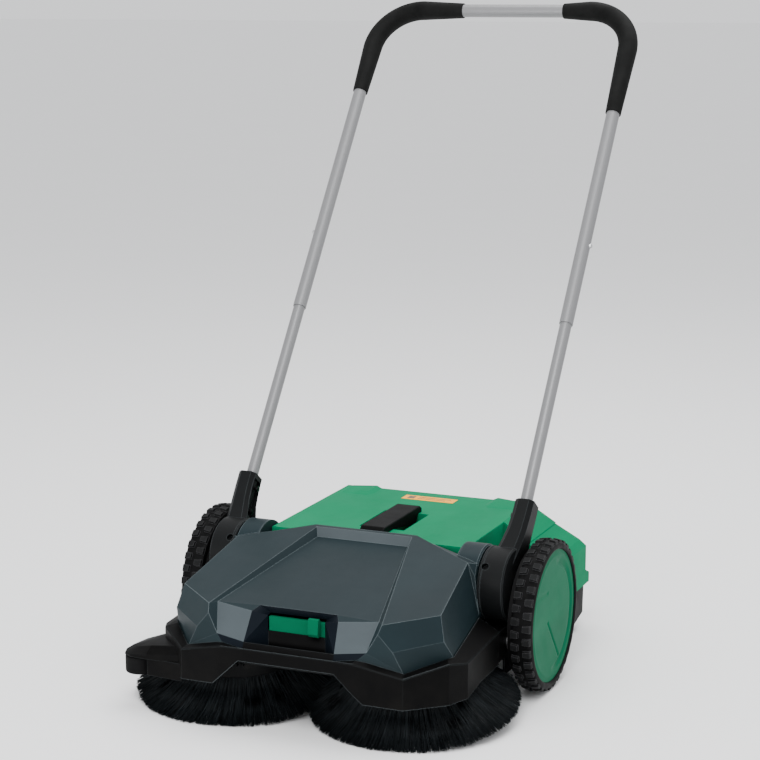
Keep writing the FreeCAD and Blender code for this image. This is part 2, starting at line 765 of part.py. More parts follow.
def hood_solid(shrink):
    """Faceted outside of the hood, drawn smaller towards a point low in its middle."""
    crest = d.crest_z.number
    foot = d.hood_foot.number
    corners = mirrored_corners({
        "rear_low": (200, -50, foot), "rear_side": (186, -50, 205), "rear_crest": (84, -48, crest),
        "panel_rear": (75, -63, 217), "panel_front": (127, -296, 173),
        "pod_front": (136, -307, 173), "pod_brow": (133, -315, 161),
        "pod_corner": (204, -254, 180), "pod_rear": (190, -110, 213),
        "light_foot": (117, -319, 133), "window_foot": (71, -326, 128),
        "window_top": (61, -291, 173), "seam_in": (107, -325, foot), "seam_tip": (169, -309, foot),
        "seam_side": (220, -248, foot), "seam_rear": (207, -107, foot),
    })
    for name, (x, y, z) in corners.items():
        corners[name] = (x * shrink, (y + 150) * shrink - 150, z * shrink)
    right = [
        ["rear_crest", "rear_side", "pod_rear"], ["rear_crest", "pod_rear", "panel_rear"],
        ["panel_rear", "pod_rear", "panel_front"], ["panel_front", "pod_rear", "pod_corner"],
        ["panel_front", "pod_corner", "pod_front"], ["pod_front", "pod_corner", "pod_brow"],
        ["pod_brow", "pod_corner", "seam_tip"], ["seam_tip", "pod_corner", "seam_side"],
        ["pod_corner", "pod_rear", "seam_side"], ["seam_side", "pod_rear", "seam_rear"],
        ["pod_rear", "rear_side", "seam_rear"], ["seam_rear", "rear_side", "rear_low"],
        ["panel_front", "pod_front", "light_foot"], ["pod_front", "pod_brow", "light_foot"],
        ["light_foot", "pod_brow", "seam_tip"], ["light_foot", "seam_tip", "seam_in"],
        ["panel_front", "light_foot", "window_top"], ["window_top", "light_foot", "window_foot"],
        ["window_foot", "light_foot", "seam_in"],
    ]
    middle = [
        ["-rear_crest", "rear_crest", "panel_rear", "-panel_rear"],
        ["-panel_rear", "panel_rear", "panel_front", "-panel_front"],
        ["-panel_front", "panel_front", "window_top", "-window_top"],
        ["-window_top", "window_top", "window_foot", "-window_foot"],
        ["-window_foot", "window_foot", "seam_in", "-seam_in"],
        ["rear_crest", "-rear_crest", "-rear_side", "-rear_low", "rear_low", "rear_side"],
        ["seam_in", "seam_tip", "seam_side", "seam_rear", "rear_low", "-rear_low", "-seam_rear",
         "-seam_side", "-seam_tip", "-seam_in"],
    ]
    return facets(corners, mirrored_faces(right) + middle)


def make_hood():
    wall = d.wall
    face = d.boss_face
    boss = rod("X", (165, d.pivot_y, d.pivot_z), d.boss_radius, face - 165)
    hollow = rod("X", (165 + wall, d.pivot_y, d.pivot_z), d.boss_radius - wall, face - 165 - wall - wall)
    under = block((150, -160, 60), (210, 40, 133))
    under_left = flipped(under)
    window = block((-62, -345, 134), (62, -285, 169.5))
    gear_room = both_sides(block((150, -112, 100), (204.5, -10, 127)))
    slider_room = block((-96, d.slider_front - 0.5, 138), (96, d.slider_front + 8, 162))
    drum_room = both_sides(rod("X", (d.boss_face + 1, d.pivot_y, d.pivot_z), d.drum_radius + 1, 20))
    bolt = both_sides(rod("X", (190, d.pivot_y, d.pivot_z), d.pivot_radius + 0.5, 20))
    rear_way = block((-160, -60, 100), (160, -30, 205))
    bosses = cut(both_sides(boss), [under, under_left])
    hood = cut(fused([free_form(hood_solid(1)), bosses]),
               [free_form(hood_solid(0.982)), both_sides(hollow), window, bolt, rear_way,
                gear_room, drum_room, slider_room])
    node("hood", place(hood))
    screw = fused([rod("Z", (205, -215, 100), 2.4, 20), rod("Z", (205, -215, 103), 5, 5)])
    front = fused([rod("Z", (150, -300, 84), 2.4, 33), rod("Z", (150, -300, 84), 5, 5)])
    node("hood_screws", place(both_sides(fused([screw, front]))))


# ---------------------------------------------------------------- roller brush

def make_roller():
    half = d.roller_half
    end = d.wheel_in + 14
    core = turned([
        (-end, 0), (-end, d.shaft_radius), (-half - 2, d.shaft_radius), (-half - 2, 24),
        (half + 2, 24), (half + 2, d.shaft_radius), (d.side_half + 1, d.shaft_radius),
        (d.side_half + 1, 0),
    ], "X")
    node("roller_core", place(core, 0, ROLLER_Y, ROLLER_Z))
    bristles = turned([
        (-half, 24), (-half, d.roller_radius), (half, d.roller_radius), (half, 24),
    ], "X")
    node("roller_bristles", place(bristles, 0, ROLLER_Y, ROLLER_Z))
    pinion = gear(d.roller_teeth, d.wheel_module, ROLLER_TOOTH, d.wheel_in + 2.5,
                  d.wheel_in + 13.5, d.shaft_radius, "X")
    node("roller_gear", flipped(place(pinion, 0, ROLLER_Y, ROLLER_Z)))


# ---------------------------------------------------------------- handle

def bent_tube(radius, start):
    """A round bar up one leg, over both bends and the top bar, and down the other leg."""
    bend = d.bend_radius.number
    top = d.handle_length.number
    leg = d.tube_x.number
    low = as_size(start).number
    slant = bend * math.sqrt(0.5)
    corner = leg - bend
    shoulder = top - bend
    ends = [Vector(-leg, 0, low), Vector(-leg, 0, shoulder), Vector(-corner, 0, top),
            Vector(corner, 0, top), Vector(leg, 0, shoulder), Vector(leg, 0, low)]
    left_bend = Part.Arc(ends[1], Vector(-corner - slant, 0, shoulder + slant), ends[2])
    right_bend = Part.Arc(ends[3], Vector(corner + slant, 0, shoulder + slant), ends[4])
    path = Part.Wire([
        Part.LineSegment(ends[0], ends[1]).toShape(), left_bend.toShape(),
        Part.LineSegment(ends[2], ends[3]).toShape(), right_bend.toShape(),
        Part.LineSegment(ends[4], ends[5]).toShape(),
    ])
    ring = Part.Wire(Part.makeCircle(as_size(radius).number, ends[0], Vector(0, 0, 1)))
    return free_form(path.makePipeShell([ring], True, True))


def make_handle():
    wall = d.tube_wall
    x = d.tube_x
    inner = d.lower_tube_radius - wall
    drill = both_sides(rod("X", (x, 0, d.button_at), d.button_radius + 0.1, 20))
    screw_holes = [both_sides(rod("X", (x - 20, 0, at), 2.5, 26)) for at in (70, 110)]

    lower = cut(rod("Z", (x, 0, 30), d.lower_tube_radius, d.lower_tube_end - 30),
                [rod("Z", (x, 0, 20), inner, d.lower_tube_end), drill, *screw_holes])
    pair("lower_tube", in_handle_frame(lower))

    joint = d.tube_joint
    outside = bent_tube(d.upper_tube_radius, joint)
    inside = bent_tube(d.lower_tube_radius + d.running, joint - 5)
    node("upper_tube", in_handle_frame(cut(outside, [inside, drill])))

    make_grip("grip_left", -1, 867, 78)
    make_grip("grip_right", 1, 834, 105)
    make_bracket(screw_holes)
    make_button()


def make_grip(label, side, start, bar_end):
    """Foam sleeve over one bend, thickest in the bend and slimmer at both ends."""
    bend = d.bend_radius
    top = d.handle_length
    radius = d.grip_radius
    leg = top - bend - start
    corner = d.tube_x - bend
    cone = doc.addObject("Part::Cone", unique("leg"))
    bind(cone, "Radius1", d.grip_end_radius)
    bind(cone, "Radius2", radius)
    bind(cone, "Height", leg)
    bind(cone, "Placement.Base.x", d.tube_x)
    bind(cone, "Placement.Base.z", start)
    torus = doc.addObject("Part::Torus", unique("bend"))
    bind(torus, "Radius1", bend)
    bind(torus, "Radius2", radius)
    torus.Angle3 = 90
    torus.Placement = Placement(Vector(), Rotation(Vector(1, 0, 0), 90))
    bind(torus, "Placement.Base.x", corner)
    bind(torus, "Placement.Base.z", top - bend)
    bar = doc.addObject("Part::Cone", unique("bar"))
    bar.Placement = Placement(Vector(), TURNS["X"])
    bind(bar, "Radius1", d.grip_end_radius)
    bind(bar, "Radius2", radius)
    bind(bar, "Height", corner - bar_end)
    bind(bar, "Placement.Base.x", bar_end)
    bind(bar, "Placement.Base.z", top)
    solid = fused([cone, torus, bar])
    if side < 0:
        solid = flipped(solid)
    core = bent_tube(d.upper_tube_radius + 0.02, 700)
    node(label, in_handle_frame(cut(solid, [core])))


def make_bracket(screw_holes):
    """Pivot drum with the arm that clamps the lower tube."""
    x = d.tube_x
    drum = cut(rod("X", (boss_gap(), 0, 0), d.drum_radius, 235 - boss_gap()),
               [rod("X", (190, 0, 0), d.pivot_radius + d.running, 80)])
    arm = prism("YZ_Plane", [
        (-27, 20), (-22, 70), (-19, 88), (-19, d.arm_end), (19, d.arm_end), (24, 60), (38, 20),
    ], x - 14, x + 13)
    bolt_room = rod("X", (235, 0, 0), 17, 20)
    socket = rod("Z", (x, 0, 30), d.lower_tube_radius, 200)
    index_hole = rod("Z", (215, 0, -70), 6, 30)
    pair("handle_bracket", in_handle_frame(cut(fused([drum, arm]),
                                               [socket, bolt_room, index_hole, *screw_holes])))
    screws = []
    for at in (70, 110):
        screws.append(rod("X", (x - 19, 0, at), 2.5, 23))
        screws.append(rod("X", (x - 18, 0, at), 5, 3.9))
    node("bracket_screws", in_handle_frame(both_sides(fused(screws))))
    bolt = turned([
        (182, 0), (182, 12), (185.7, 12), (185.7, d.pivot_radius), (235.3, d.pivot_radius),
        (235.3, 15), (239, 15), (241, 11), (241, 0),
    ], "X")
    node("pivot_bolts", both_sides(place(bolt, 0, d.pivot_y, d.pivot_z)))


def boss_gap():
    """Inner face of the pivot drum, beside the shoulder of the hood."""
    return d.boss_face + 2


def make_button():
    x = d.tube_x
    button = turned([
        (x + 2, 0), (x + 2, 5.2), (x + 4.4, 5.2), (x + 4.4, d.button_radius),
        (x + 13, d.button_radius), (x + 14, 3), (x + 14, 0),
    ], "X")
    along_tube = place(button, 0, d.pivot_y + d.button_at * sine(d.lean),
                       d.pivot_z + d.button_at * cosine(d.lean))
    pair("snap_button", along_tube)


# ---------------------------------------------------------------- container

def shell_loft(inset, drop):
    """Stack of rectangles that gives the container its stepped, sloping sides."""
    front = (d.container_front + inset).number
    wide = d.container_half.number
    brow = 110
    levels = [
        (70 - drop, wide, 334), (90, wide, 334), (98, wide, 315), (140, wide, 315),
        (155, 235, 295), (187, 205, 260), (d.container_top.number, 160, 249),
    ]
    wires = []
    for height, half, back in levels:
        level = height - inset if height > brow else height
        side = half - inset
        corners = [Vector(-side, front, level), Vector(side, front, level),
                   Vector(side, back - inset, level), Vector(-side, back - inset, level)]
        wires.append(Part.makePolygon(corners + corners[:1]))
    return Part.makeLoft(wires, True, True)


def neck_cuts(inset):
    """Room beside the neck of the container for the wheels and the handle."""
    neck = d.container_neck - inset
    return both_sides(block((neck, -80, 0), (280, d.container_step + inset, 300)))


HANDLE_SCREWS = (-18, 126)
SCREW_RADIUS = 2.5


def make_container():
    wall = d.wall
    low = d.container_low
    mouth = 112
    under = block((-300, -80, 0), (300, mouth, low))
    trim = block((-300, -80, 0), (300, 400, d.pan_top + 0.3))
    screw_holes = [rod("Z", (0, y, 200), SCREW_RADIUS, 30) for y in HANDLE_SCREWS]
    tray_front = 12
    tray_back = 118
    tray_half = 38
    tray_low = 190
    room = block((-tray_half - wall, tray_front - wall, tray_low - wall),
                 (tray_half + wall, tray_back + wall, d.container_top - 1))
    outer = cut(free_form(shell_loft(0, 0)), [neck_cuts(0), under, trim, *screw_holes])
    inner = cut(free_form(shell_loft(wall.number, 10)), [neck_cuts(wall)])
    hole = block((-tray_half - wall, tray_front - wall, tray_low - 10),
                 (tray_half + wall, tray_back + wall, d.container_top + 5))
    flange = both_sides(block((d.container_neck - 1, 20, low - 1.3),
                              (d.container_neck + 18, 120, low + wall)))
    shell = fused([cut(outer, [inner, hole]), flange])
    node("container_shell", place(shell))
    tray = cut(room, [block((-tray_half, tray_front, tray_low), (tray_half, tray_back, 230))])
    node("handle_tray", place(tray))

    base = d.pan_bottom
    pan_top = d.pan_top
    pan_half = 236
    pan_outer = cut(prism("YZ_Plane", [
        (mouth, 22), (119, base), (258, base), (315, 25), (318, 69), (318, pan_top),
        (mouth, pan_top),
    ], -pan_half, pan_half), [neck_cuts(0)])
    pan_inner = cut(prism("YZ_Plane", [
        (100, 24), (121, base + wall), (257, base + wall), (312, 28), (315, 69), (315, 90),
        (100, 90),
    ], wall - pan_half, pan_half - wall), [neck_cuts(wall)])
    node("container_pan", place(cut(pan_outer, [pan_inner])))
    lip_back = mouth - 0.1
    lip_half = 156
    lip = prism("YZ_Plane", [
        (107, 1.5), (109, 1.5), (lip_back, 22.5), (lip_back, 30), (109, 30), (109, 22.5),
    ], -lip_half, lip_half)
    node("dirt_lip", place(lip))

    top = d.container_top
    grip_half = 20
    handle = prism("YZ_Plane", [
        (-30, top), (-30, 224), (-22, 231), (124, 231), (132, 226), (132, top), (116, top),
        (110, 206), (96, 203), (60, 212), (20, top),
    ], -grip_half, grip_half)
    node("carry_handle", place(handle))
    screws = [rod("Z", (0, y, top - 14), SCREW_RADIUS, 14) for y in HANDLE_SCREWS]
    node("handle_screws", place(fused(screws)))


# ---------------------------------------------------------------- guide roller

def make_guide():
    """Bumper roller on the front left corner, under its cover."""
    x = d.guide_x
    y = d.guide_y
    radius = d.guide_radius
    cover_low = 76
    roller_low = 48
    roller_high = cover_low - 1
    pin_radius = 4
    cover = prism("XY_Plane", [
        (240, -236), (x + 14, y + 20), (x + 26, y + 4), (x + 26, y - 12), (x + 14, y - 26),
        (x - 12, y - 26), (225, -281), (214, -284),
    ], cover_low, cover_low + 16)
    pin = fused([rod("Z", (x, y, 46), pin_radius, 34), rod("Z", (x, y, 43), 7, 4)])
    bore = pin_radius + d.running
    edge = 2
    roller = turned([
        (bore, roller_low), (radius - edge, roller_low), (radius, roller_low + edge),
        (radius, roller_high - edge), (radius - edge, roller_high), (bore, roller_high),
    ], "Z")
    chassis_body = prism("XY_Plane", chassis_outline(-0.1), 40, 130)
    trimmed = cut(cover, [chassis_body, rod("Z", (x, y, 40), pin_radius, 40)])
    node("guide_cover", flipped(place(trimmed)))
    node("guide_pin", flipped(place(pin)))
    node("guide_roller", flipped(place(roller, x, y)))


# ---------------------------------------------------------------- assembly and export

def check_document():
    """Stop on a failed object or a bad sub-part before anything is written."""
    for item in doc.Objects:
        if "Invalid" in item.State or "Error" in item.State:
            raise RuntimeError(f"{item.Name} failed: {item.State}")
    for label, item in nodes.items():
        if item.Shape.isNull() or not item.Shape.isValid():
            raise RuntimeError(f"{label} has no valid shape")


def export():
    os.makedirs("parts", exist_ok=True)
    for label, item in nodes.items():
        item.Shape.exportStep(f"parts/{label}.step")
        box = item.Shape.BoundBox
        print(f"{label:22s} {len(item.Shape.Solids):2d} solids "
              f"x {box.XMin:.1f} {box.XMax:.1f} y {box.YMin:.1f} {box.YMax:.1f} "
              f"z {box.ZMin:.1f} {box.ZMax:.1f}")


make_wheels()
make_drive()
make_brushes()
make_bridge()
make_slider()
make_chassis()
make_hood()
make_roller()
make_handle()
make_container()
make_guide()
doc.recompute()
check_document()
export()
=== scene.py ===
import json
import math
import random

import bmesh
import bpy
from mathutils import Matrix, Vector

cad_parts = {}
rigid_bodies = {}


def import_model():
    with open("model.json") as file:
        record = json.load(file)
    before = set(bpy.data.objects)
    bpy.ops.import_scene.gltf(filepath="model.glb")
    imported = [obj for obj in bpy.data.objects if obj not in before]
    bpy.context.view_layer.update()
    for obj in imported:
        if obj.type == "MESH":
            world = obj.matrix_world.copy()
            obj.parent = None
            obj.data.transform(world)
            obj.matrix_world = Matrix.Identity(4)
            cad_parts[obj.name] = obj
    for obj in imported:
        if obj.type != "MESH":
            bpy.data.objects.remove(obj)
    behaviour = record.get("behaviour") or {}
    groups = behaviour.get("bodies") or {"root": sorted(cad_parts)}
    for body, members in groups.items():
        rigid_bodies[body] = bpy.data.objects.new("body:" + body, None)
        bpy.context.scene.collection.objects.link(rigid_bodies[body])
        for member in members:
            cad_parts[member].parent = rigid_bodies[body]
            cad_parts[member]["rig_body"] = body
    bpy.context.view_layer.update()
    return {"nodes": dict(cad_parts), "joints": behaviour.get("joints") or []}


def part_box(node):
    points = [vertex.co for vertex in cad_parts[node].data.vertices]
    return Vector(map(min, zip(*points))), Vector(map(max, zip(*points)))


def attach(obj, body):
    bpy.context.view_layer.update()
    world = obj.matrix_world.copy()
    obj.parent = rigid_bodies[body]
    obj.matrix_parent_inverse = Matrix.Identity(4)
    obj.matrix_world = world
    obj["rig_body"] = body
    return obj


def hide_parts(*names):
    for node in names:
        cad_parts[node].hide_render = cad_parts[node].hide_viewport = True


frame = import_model()

MM = 0.001
JOINTS = {joint["name"]: joint for joint in frame["joints"]}
tyre_low, tyre_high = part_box("tyre_right")
AXLE = (tyre_low + tyre_high) / 2
PIVOT = Vector(JOINTS["handle_fold"]["pos_m"])
# How far the handle's tubes lean back from upright.
LEAN = math.radians(36.6)
SIDES = {"left": -1, "right": 1}
# Points closer than this are one, and faces that meet at less than this angle are one.
SAME_PLACE = 0.00002
NEARLY_FLAT = math.radians(0.6)
SLOT_OF = {node: item.data.materials[0].name.split(".")[0] for node, item in frame["nodes"].items()}


def at(x, y, z):
    """A point given in millimetres, with y measured backwards from the wheel axle."""
    return Vector((x * MM, y * MM + AXLE.y, z * MM))


def on_handle(x, y, z):
    """A point in millimetres from the handle pivot, with z up along the tube and y behind it."""
    back = y * math.cos(LEAN) + z * math.sin(LEAN)
    up = z * math.cos(LEAN) - y * math.sin(LEAN)
    return Vector((x * MM, PIVOT.y + back * MM, PIVOT.z + up * MM))


# ------------------------------------------------------------------ materials

class Nodes:
    """A node material, with short names for the nodes that the finishes share."""

    def __init__(self, name, colour, roughness, metallic=0.0):
        self.material = bpy.data.materials.new(name)
        self.material.use_nodes = True
        self.tree = self.material.node_tree
        self.shader = self.tree.nodes["Principled BSDF"]
        self.shader.inputs["Base Color"].default_value = (*colour, 1)
        self.shader.inputs["Roughness"].default_value = roughness
        self.shader.inputs["Metallic"].default_value = metallic
        self.material.diffuse_color = (*colour, 1)
        self.place = self.add("ShaderNodeTexCoord").outputs["Object"]
        self.height = None

    def add(self, kind, **inputs):
        node = self.tree.nodes.new(kind)
        for name, value in inputs.items():
            self.plug(node.inputs[name.replace("_", " ")], value)
        return node

    def plug(self, socket, value):
        if isinstance(value, bpy.types.NodeSocket):
            self.tree.links.new(value, socket)
        else:
            socket.default_value = value

    def stretched(self, scale):
        return self.add("ShaderNodeMapping", Vector=self.place, Scale=scale).outputs["Vector"]

    def noise(self, scale, detail=3.0, rough=0.55, vector=None):
        node = self.add("ShaderNodeTexNoise", Vector=vector or self.place, Scale=scale,
                        Detail=detail, Roughness=rough)
        return node.outputs["Fac"]

    def cells(self, scale):
        return self.add("ShaderNodeTexVoronoi", Vector=self.place, Scale=scale).outputs["Distance"]

    def remap(self, value, low, high, new_low=0.0, new_high=1.0):
        node = self.add("ShaderNodeMapRange", Value=value)
        node.inputs["From Min"].default_value = low
        node.inputs["From Max"].default_value = high
        node.inputs["To Min"].default_value = new_low
        node.inputs["To Max"].default_value = new_high
        return node.outputs["Result"]

    def times(self, first, second):
        node = self.add("ShaderNodeMath")
        node.operation = "MULTIPLY"
        self.plug(node.inputs[0], first)
        self.plug(node.inputs[1], second)
        return node.outputs["Value"]

    def mix(self, factor, first, second):
        node = self.tree.nodes.new("ShaderNodeMix")
        node.data_type = "RGBA"
        self.plug(node.inputs["Factor"], factor)
        # The colour sockets share their names with the number sockets, so they go by index.
        for socket, value in ((node.inputs[6], first), (node.inputs[7], second)):
            self.plug(socket, value if isinstance(value, bpy.types.NodeSocket) else (*value, 1))
        return node.outputs[2]

    def bump(self, height, distance, strength=1.0):
        node = self.add("ShaderNodeBump", Height=height, Strength=strength, Distance=distance)
        if self.height:
            self.tree.links.new(self.height, node.inputs["Normal"])
        self.height = node.outputs["Normal"]
        self.tree.links.new(self.height, self.shader.inputs["Normal"])

    def edges(self, radius):
        """About 1 along sharp edges and 0 on open faces."""
        cosine_on_face = 0.995
        cosine_on_edge = 0.93
        bevel = self.add("ShaderNodeBevel", Radius=radius)
        bevel.samples = 4
        true_normal = self.add("ShaderNodeNewGeometry").outputs["Normal"]
        dot = self.add("ShaderNodeVectorMath")
        dot.operation = "DOT_PRODUCT"
        self.tree.links.new(bevel.outputs["Normal"], dot.inputs[0])
        self.tree.links.new(true_normal, dot.inputs[1])
        return self.remap(dot.outputs["Value"], cosine_on_face, cosine_on_edge)

    def low_down(self, top):
        """1 near the ground, fading to 0 at this height."""
        z = self.add("ShaderNodeSeparateXYZ", Vector=self.place).outputs["Z"]
        return self.remap(z, 0.0, top, 1.0, 0.0)

    def colour(self, socket):
        self.tree.links.new(socket, self.shader.inputs["Base Color"])

    def roughness(self, socket):
        self.tree.links.new(socket, self.shader.inputs["Roughness"])


def shade(colour, factor):
    """A colour made darker or lighter."""
    return tuple(min(1.0, channel * factor) for channel in colour)


# Pale tint for sharp edges: a painted highlight where rounded edges would catch the light.
PAINTED_EDGE_HIGHLIGHT = (0.16, 0.19, 0.20)
SCUFF = (0.26, 0.28, 0.29)
DUST = (0.20, 0.18, 0.15)


def moulded_plastic(name, colour, roughness, wear, dust, shine, rim=0.0):
    """Injection-moulded plastic: fine leather grain, flow marks, scuffed edges, a painted highlight
    along sharp edges and low dust.

    wear, dust and rim say how strongly scuffs, dust and the painted edge highlight show.
    """
    grain = 0.00003
    edge_width = 0.0016
    dust_top = 0.14
    nodes = Nodes(name, colour, roughness)
    nodes.shader.inputs["Specular IOR Level"].default_value = shine
    flow = nodes.noise(7, 4, vector=nodes.stretched((1.0, 0.35, 2.2)))
    tint = nodes.mix(nodes.remap(flow, 0.3, 0.7), shade(colour, 0.88), shade(colour, 1.14))
    scuff = nodes.remap(nodes.noise(60, 6, 0.7), 0.45, 0.75)
    edges = nodes.edges(edge_width)
    worn = nodes.times(nodes.times(edges, scuff), wear)
    # Painted highlight: the edge mask tints sharp edges paler, as strongly as rim says.
    tint = nodes.mix(nodes.times(edges, rim), tint, PAINTED_EDGE_HIGHLIGHT)
    tint = nodes.mix(worn, tint, SCUFF)
    powder = nodes.times(nodes.remap(nodes.noise(22, 5, 0.7), 0.42, 0.8), nodes.low_down(dust_top))
    nodes.colour(nodes.mix(nodes.times(powder, dust), tint, DUST))
    patchy = nodes.remap(nodes.noise(14, 5, 0.65), 0.25, 0.75, roughness - 0.06, roughness + 0.09)
    nodes.roughness(patchy)
    nodes.bump(nodes.cells(1500), grain, 0.55)
    nodes.bump(nodes.noise(420, 3), grain, 0.6)
    return nodes.material


def tyre_rubber(name, colour):
    """Matt rubber with pale dust in patches and a painted highlight along its edges."""
    nodes = Nodes(name, colour, 0.66)
    nodes.shader.inputs["Specular IOR Level"].default_value = 0.09
    dusty = nodes.remap(nodes.noise(26, 6, 0.7), 0.40, 0.78)
    tint = nodes.mix(nodes.times(dusty, 0.5), colour, shade(colour, 3.0))
    # Painted highlight: sharp edges are tinted paler.
    nodes.colour(nodes.mix(nodes.times(nodes.edges(0.0012), 0.35), tint, (0.10, 0.10, 0.105)))
    nodes.roughness(nodes.remap(dusty, 0, 1, 0.55, 0.86))
    nodes.bump(nodes.noise(700, 4), 0.00008, 0.6)
    nodes.bump(nodes.noise(90, 3), 0.0002, 0.35)
    return nodes.material


def soft_rubber():
    """Plain black rubber of the lips and rollers."""
    nodes = Nodes("soft_rubber", (0.0025, 0.0025, 0.0027), 0.7)
    nodes.shader.inputs["Specular IOR Level"].default_value = 0.08
    nodes.colour(nodes.mix(nodes.noise(40, 5), (0.0015, 0.0015, 0.0016), (0.005, 0.005, 0.0054)))
    nodes.bump(nodes.noise(600, 3), 0.00006, 0.6)
    return nodes.material


def grip_foam():
    """Closed-cell foam with a skin of fine pits and long soft creases."""
    nodes = Nodes("grip_foam", (0.003, 0.0031, 0.003), 0.72)
    nodes.colour(nodes.mix(nodes.remap(nodes.noise(30, 5, 0.65), 0.3, 0.75),
                           (0.0018, 0.0019, 0.0018), (0.006, 0.0062, 0.006)))
    nodes.roughness(nodes.remap(nodes.noise(18, 4), 0.3, 0.7, 0.58, 0.8))
    nodes.shader.inputs["Specular IOR Level"].default_value = 0.1
    nodes.bump(nodes.cells(900), 0.00014, 0.7)
    nodes.bump(nodes.noise(60, 4), 0.0004, 0.35)
    return nodes.material


def painted_tube():
    """Silver powder coat: a fine orange-peel skin with metal flake and faint rub marks."""
    colour = (0.20, 0.20, 0.205)
    nodes = Nodes("painted_tube", colour, 0.45, 0.35)
    flake = nodes.remap(nodes.cells(2600), 0.05, 0.5)
    tint = nodes.mix(flake, shade(colour, 1.25), shade(colour, 0.92))
    rubbed = nodes.remap(nodes.noise(9, 5, 0.7, nodes.stretched((3, 0.5, 0.5))), 0.45, 0.8)
    nodes.colour(nodes.mix(nodes.times(rubbed, 0.3), tint, (0.15, 0.15, 0.155)))
    nodes.roughness(nodes.remap(rubbed, 0, 1, 0.38, 0.54))
    nodes.bump(nodes.noise(380, 2), 0.00004, 0.5)
    return nodes.material


def plated_steel(name, colour):
    """Plated steel with a patchy tint and fine lines across x."""
    nodes = Nodes(name, colour, 0.32, 1.0)
    nodes.colour(nodes.mix(nodes.remap(nodes.noise(120, 5), 0.35, 0.7),
                           shade(colour, 0.78), shade(colour, 1.15)))
    nodes.roughness(nodes.remap(nodes.noise(45, 4), 0.3, 0.7, 0.24, 0.46))
    nodes.bump(nodes.noise(500, 3, vector=nodes.stretched((0.2, 1, 1))), 0.00003, 0.5)
    return nodes.material


def nylon_gear():
    """Black nylon with smears of grease."""
    colour = (0.004, 0.0042, 0.0045)
    nodes = Nodes("nylon_gear", colour, 0.48)
    nodes.shader.inputs["Specular IOR Level"].default_value = 0.08
    grease = nodes.remap(nodes.noise(35, 6, 0.7), 0.5, 0.72)
    nodes.colour(nodes.mix(nodes.times(grease, 0.7), colour, (0.010, 0.009, 0.007)))
    nodes.roughness(nodes.remap(grease, 0, 1, 0.5, 0.22))
    nodes.bump(nodes.noise(300, 3), 0.00005, 0.4)
    return nodes.material


def bristle_fibre():
    """Nylon filament: each strand has its own shade, from black to a dusty blue grey."""
    nodes = Nodes("bristle_fibre", (0.004, 0.0045, 0.005), 0.5)
    nodes.shader.inputs["Specular IOR Level"].default_value = 0.1
    island = nodes.add("ShaderNodeNewGeometry").outputs["Random Per Island"]
    dark = nodes.mix(island, (0.0016, 0.0019, 0.0021), (0.012, 0.0155, 0.0175))
    dusty = nodes.remap(nodes.noise(45, 4), 0.45, 0.75)
    nodes.colour(nodes.mix(nodes.times(dusty, 0.3), dark, (0.024, 0.028, 0.031)))
    nodes.roughness(nodes.remap(island, 0, 1, 0.4, 0.62))
    nodes.bump(nodes.noise(1500, 2), 0.00005, 0.3)
    return nodes.material


def warning_film():
    """Amber film with a slightly uneven tint and a fine grain."""
    nodes = Nodes("warning_film", (0.95, 0.36, 0.004), 0.45)
    nodes.shader.inputs["Specular IOR Level"].default_value = 0.2
    nodes.colour(nodes.mix(nodes.remap(nodes.noise(30, 5), 0.3, 0.7),
                           (0.92, 0.33, 0.002), (0.98, 0.40, 0.008)))
    nodes.bump(nodes.noise(900, 2), 0.00002, 0.4)
    return nodes.material


def film_ink():
    """Dark ink, thin in places."""
    nodes = Nodes("film_ink", (0.05, 0.04, 0.03), 0.45)
    nodes.colour(nodes.mix(nodes.noise(200, 4), (0.03, 0.025, 0.02), (0.16, 0.11, 0.05)))
    return nodes.material


# rim sets how strongly each plastic gets a painted highlight along its sharp edges.
HOOD_PAINT = moulded_plastic(
    "hood_plastic", (0.0085, 0.0165, 0.0195), 0.42, wear=0.1, dust=0.05, shine=0.10, rim=0.55)
# A paler copy of the hood plastic: painted light on the facets that face the front lamps.
HOOD_PAINTED_LIGHT = moulded_plastic(
    "hood_facet_painted_light", (0.050, 0.062, 0.068), 0.42, wear=0.1, dust=0.05, shine=0.10, rim=0.3)
# A darker copy of the hood plastic: painted shade for the recess round the slot.
HOOD_PAINTED_SHADE = moulded_plastic(
    "hood_recess_painted_shade", (0.0035, 0.0055, 0.0085), 0.5, wear=0.05, dust=0.03, shine=0.04)
BLACK = moulded_plastic(
    "black_plastic", (0.0014, 0.0014, 0.0015), 0.5, wear=0.06, dust=0.03, shine=0.05, rim=0.10)
# The skirt's high rim paints a highlight along its lip.
SKIRT_BLACK = moulded_plastic(
    "skirt_plastic", (0.0012, 0.0012, 0.0013), 0.5, wear=0.06, dust=0.03, shine=0.05, rim=0.40)
BRACKET = moulded_plastic(
    "bracket_plastic", (0.0052, 0.0057, 0.006), 0.46, wear=0.06, dust=0.03, shine=0.08, rim=0.15)
GREEN = moulded_plastic("green_plastic", (0.0, 0.170, 0.074), 0.42, wear=0.01, dust=0.02, shine=0.01)
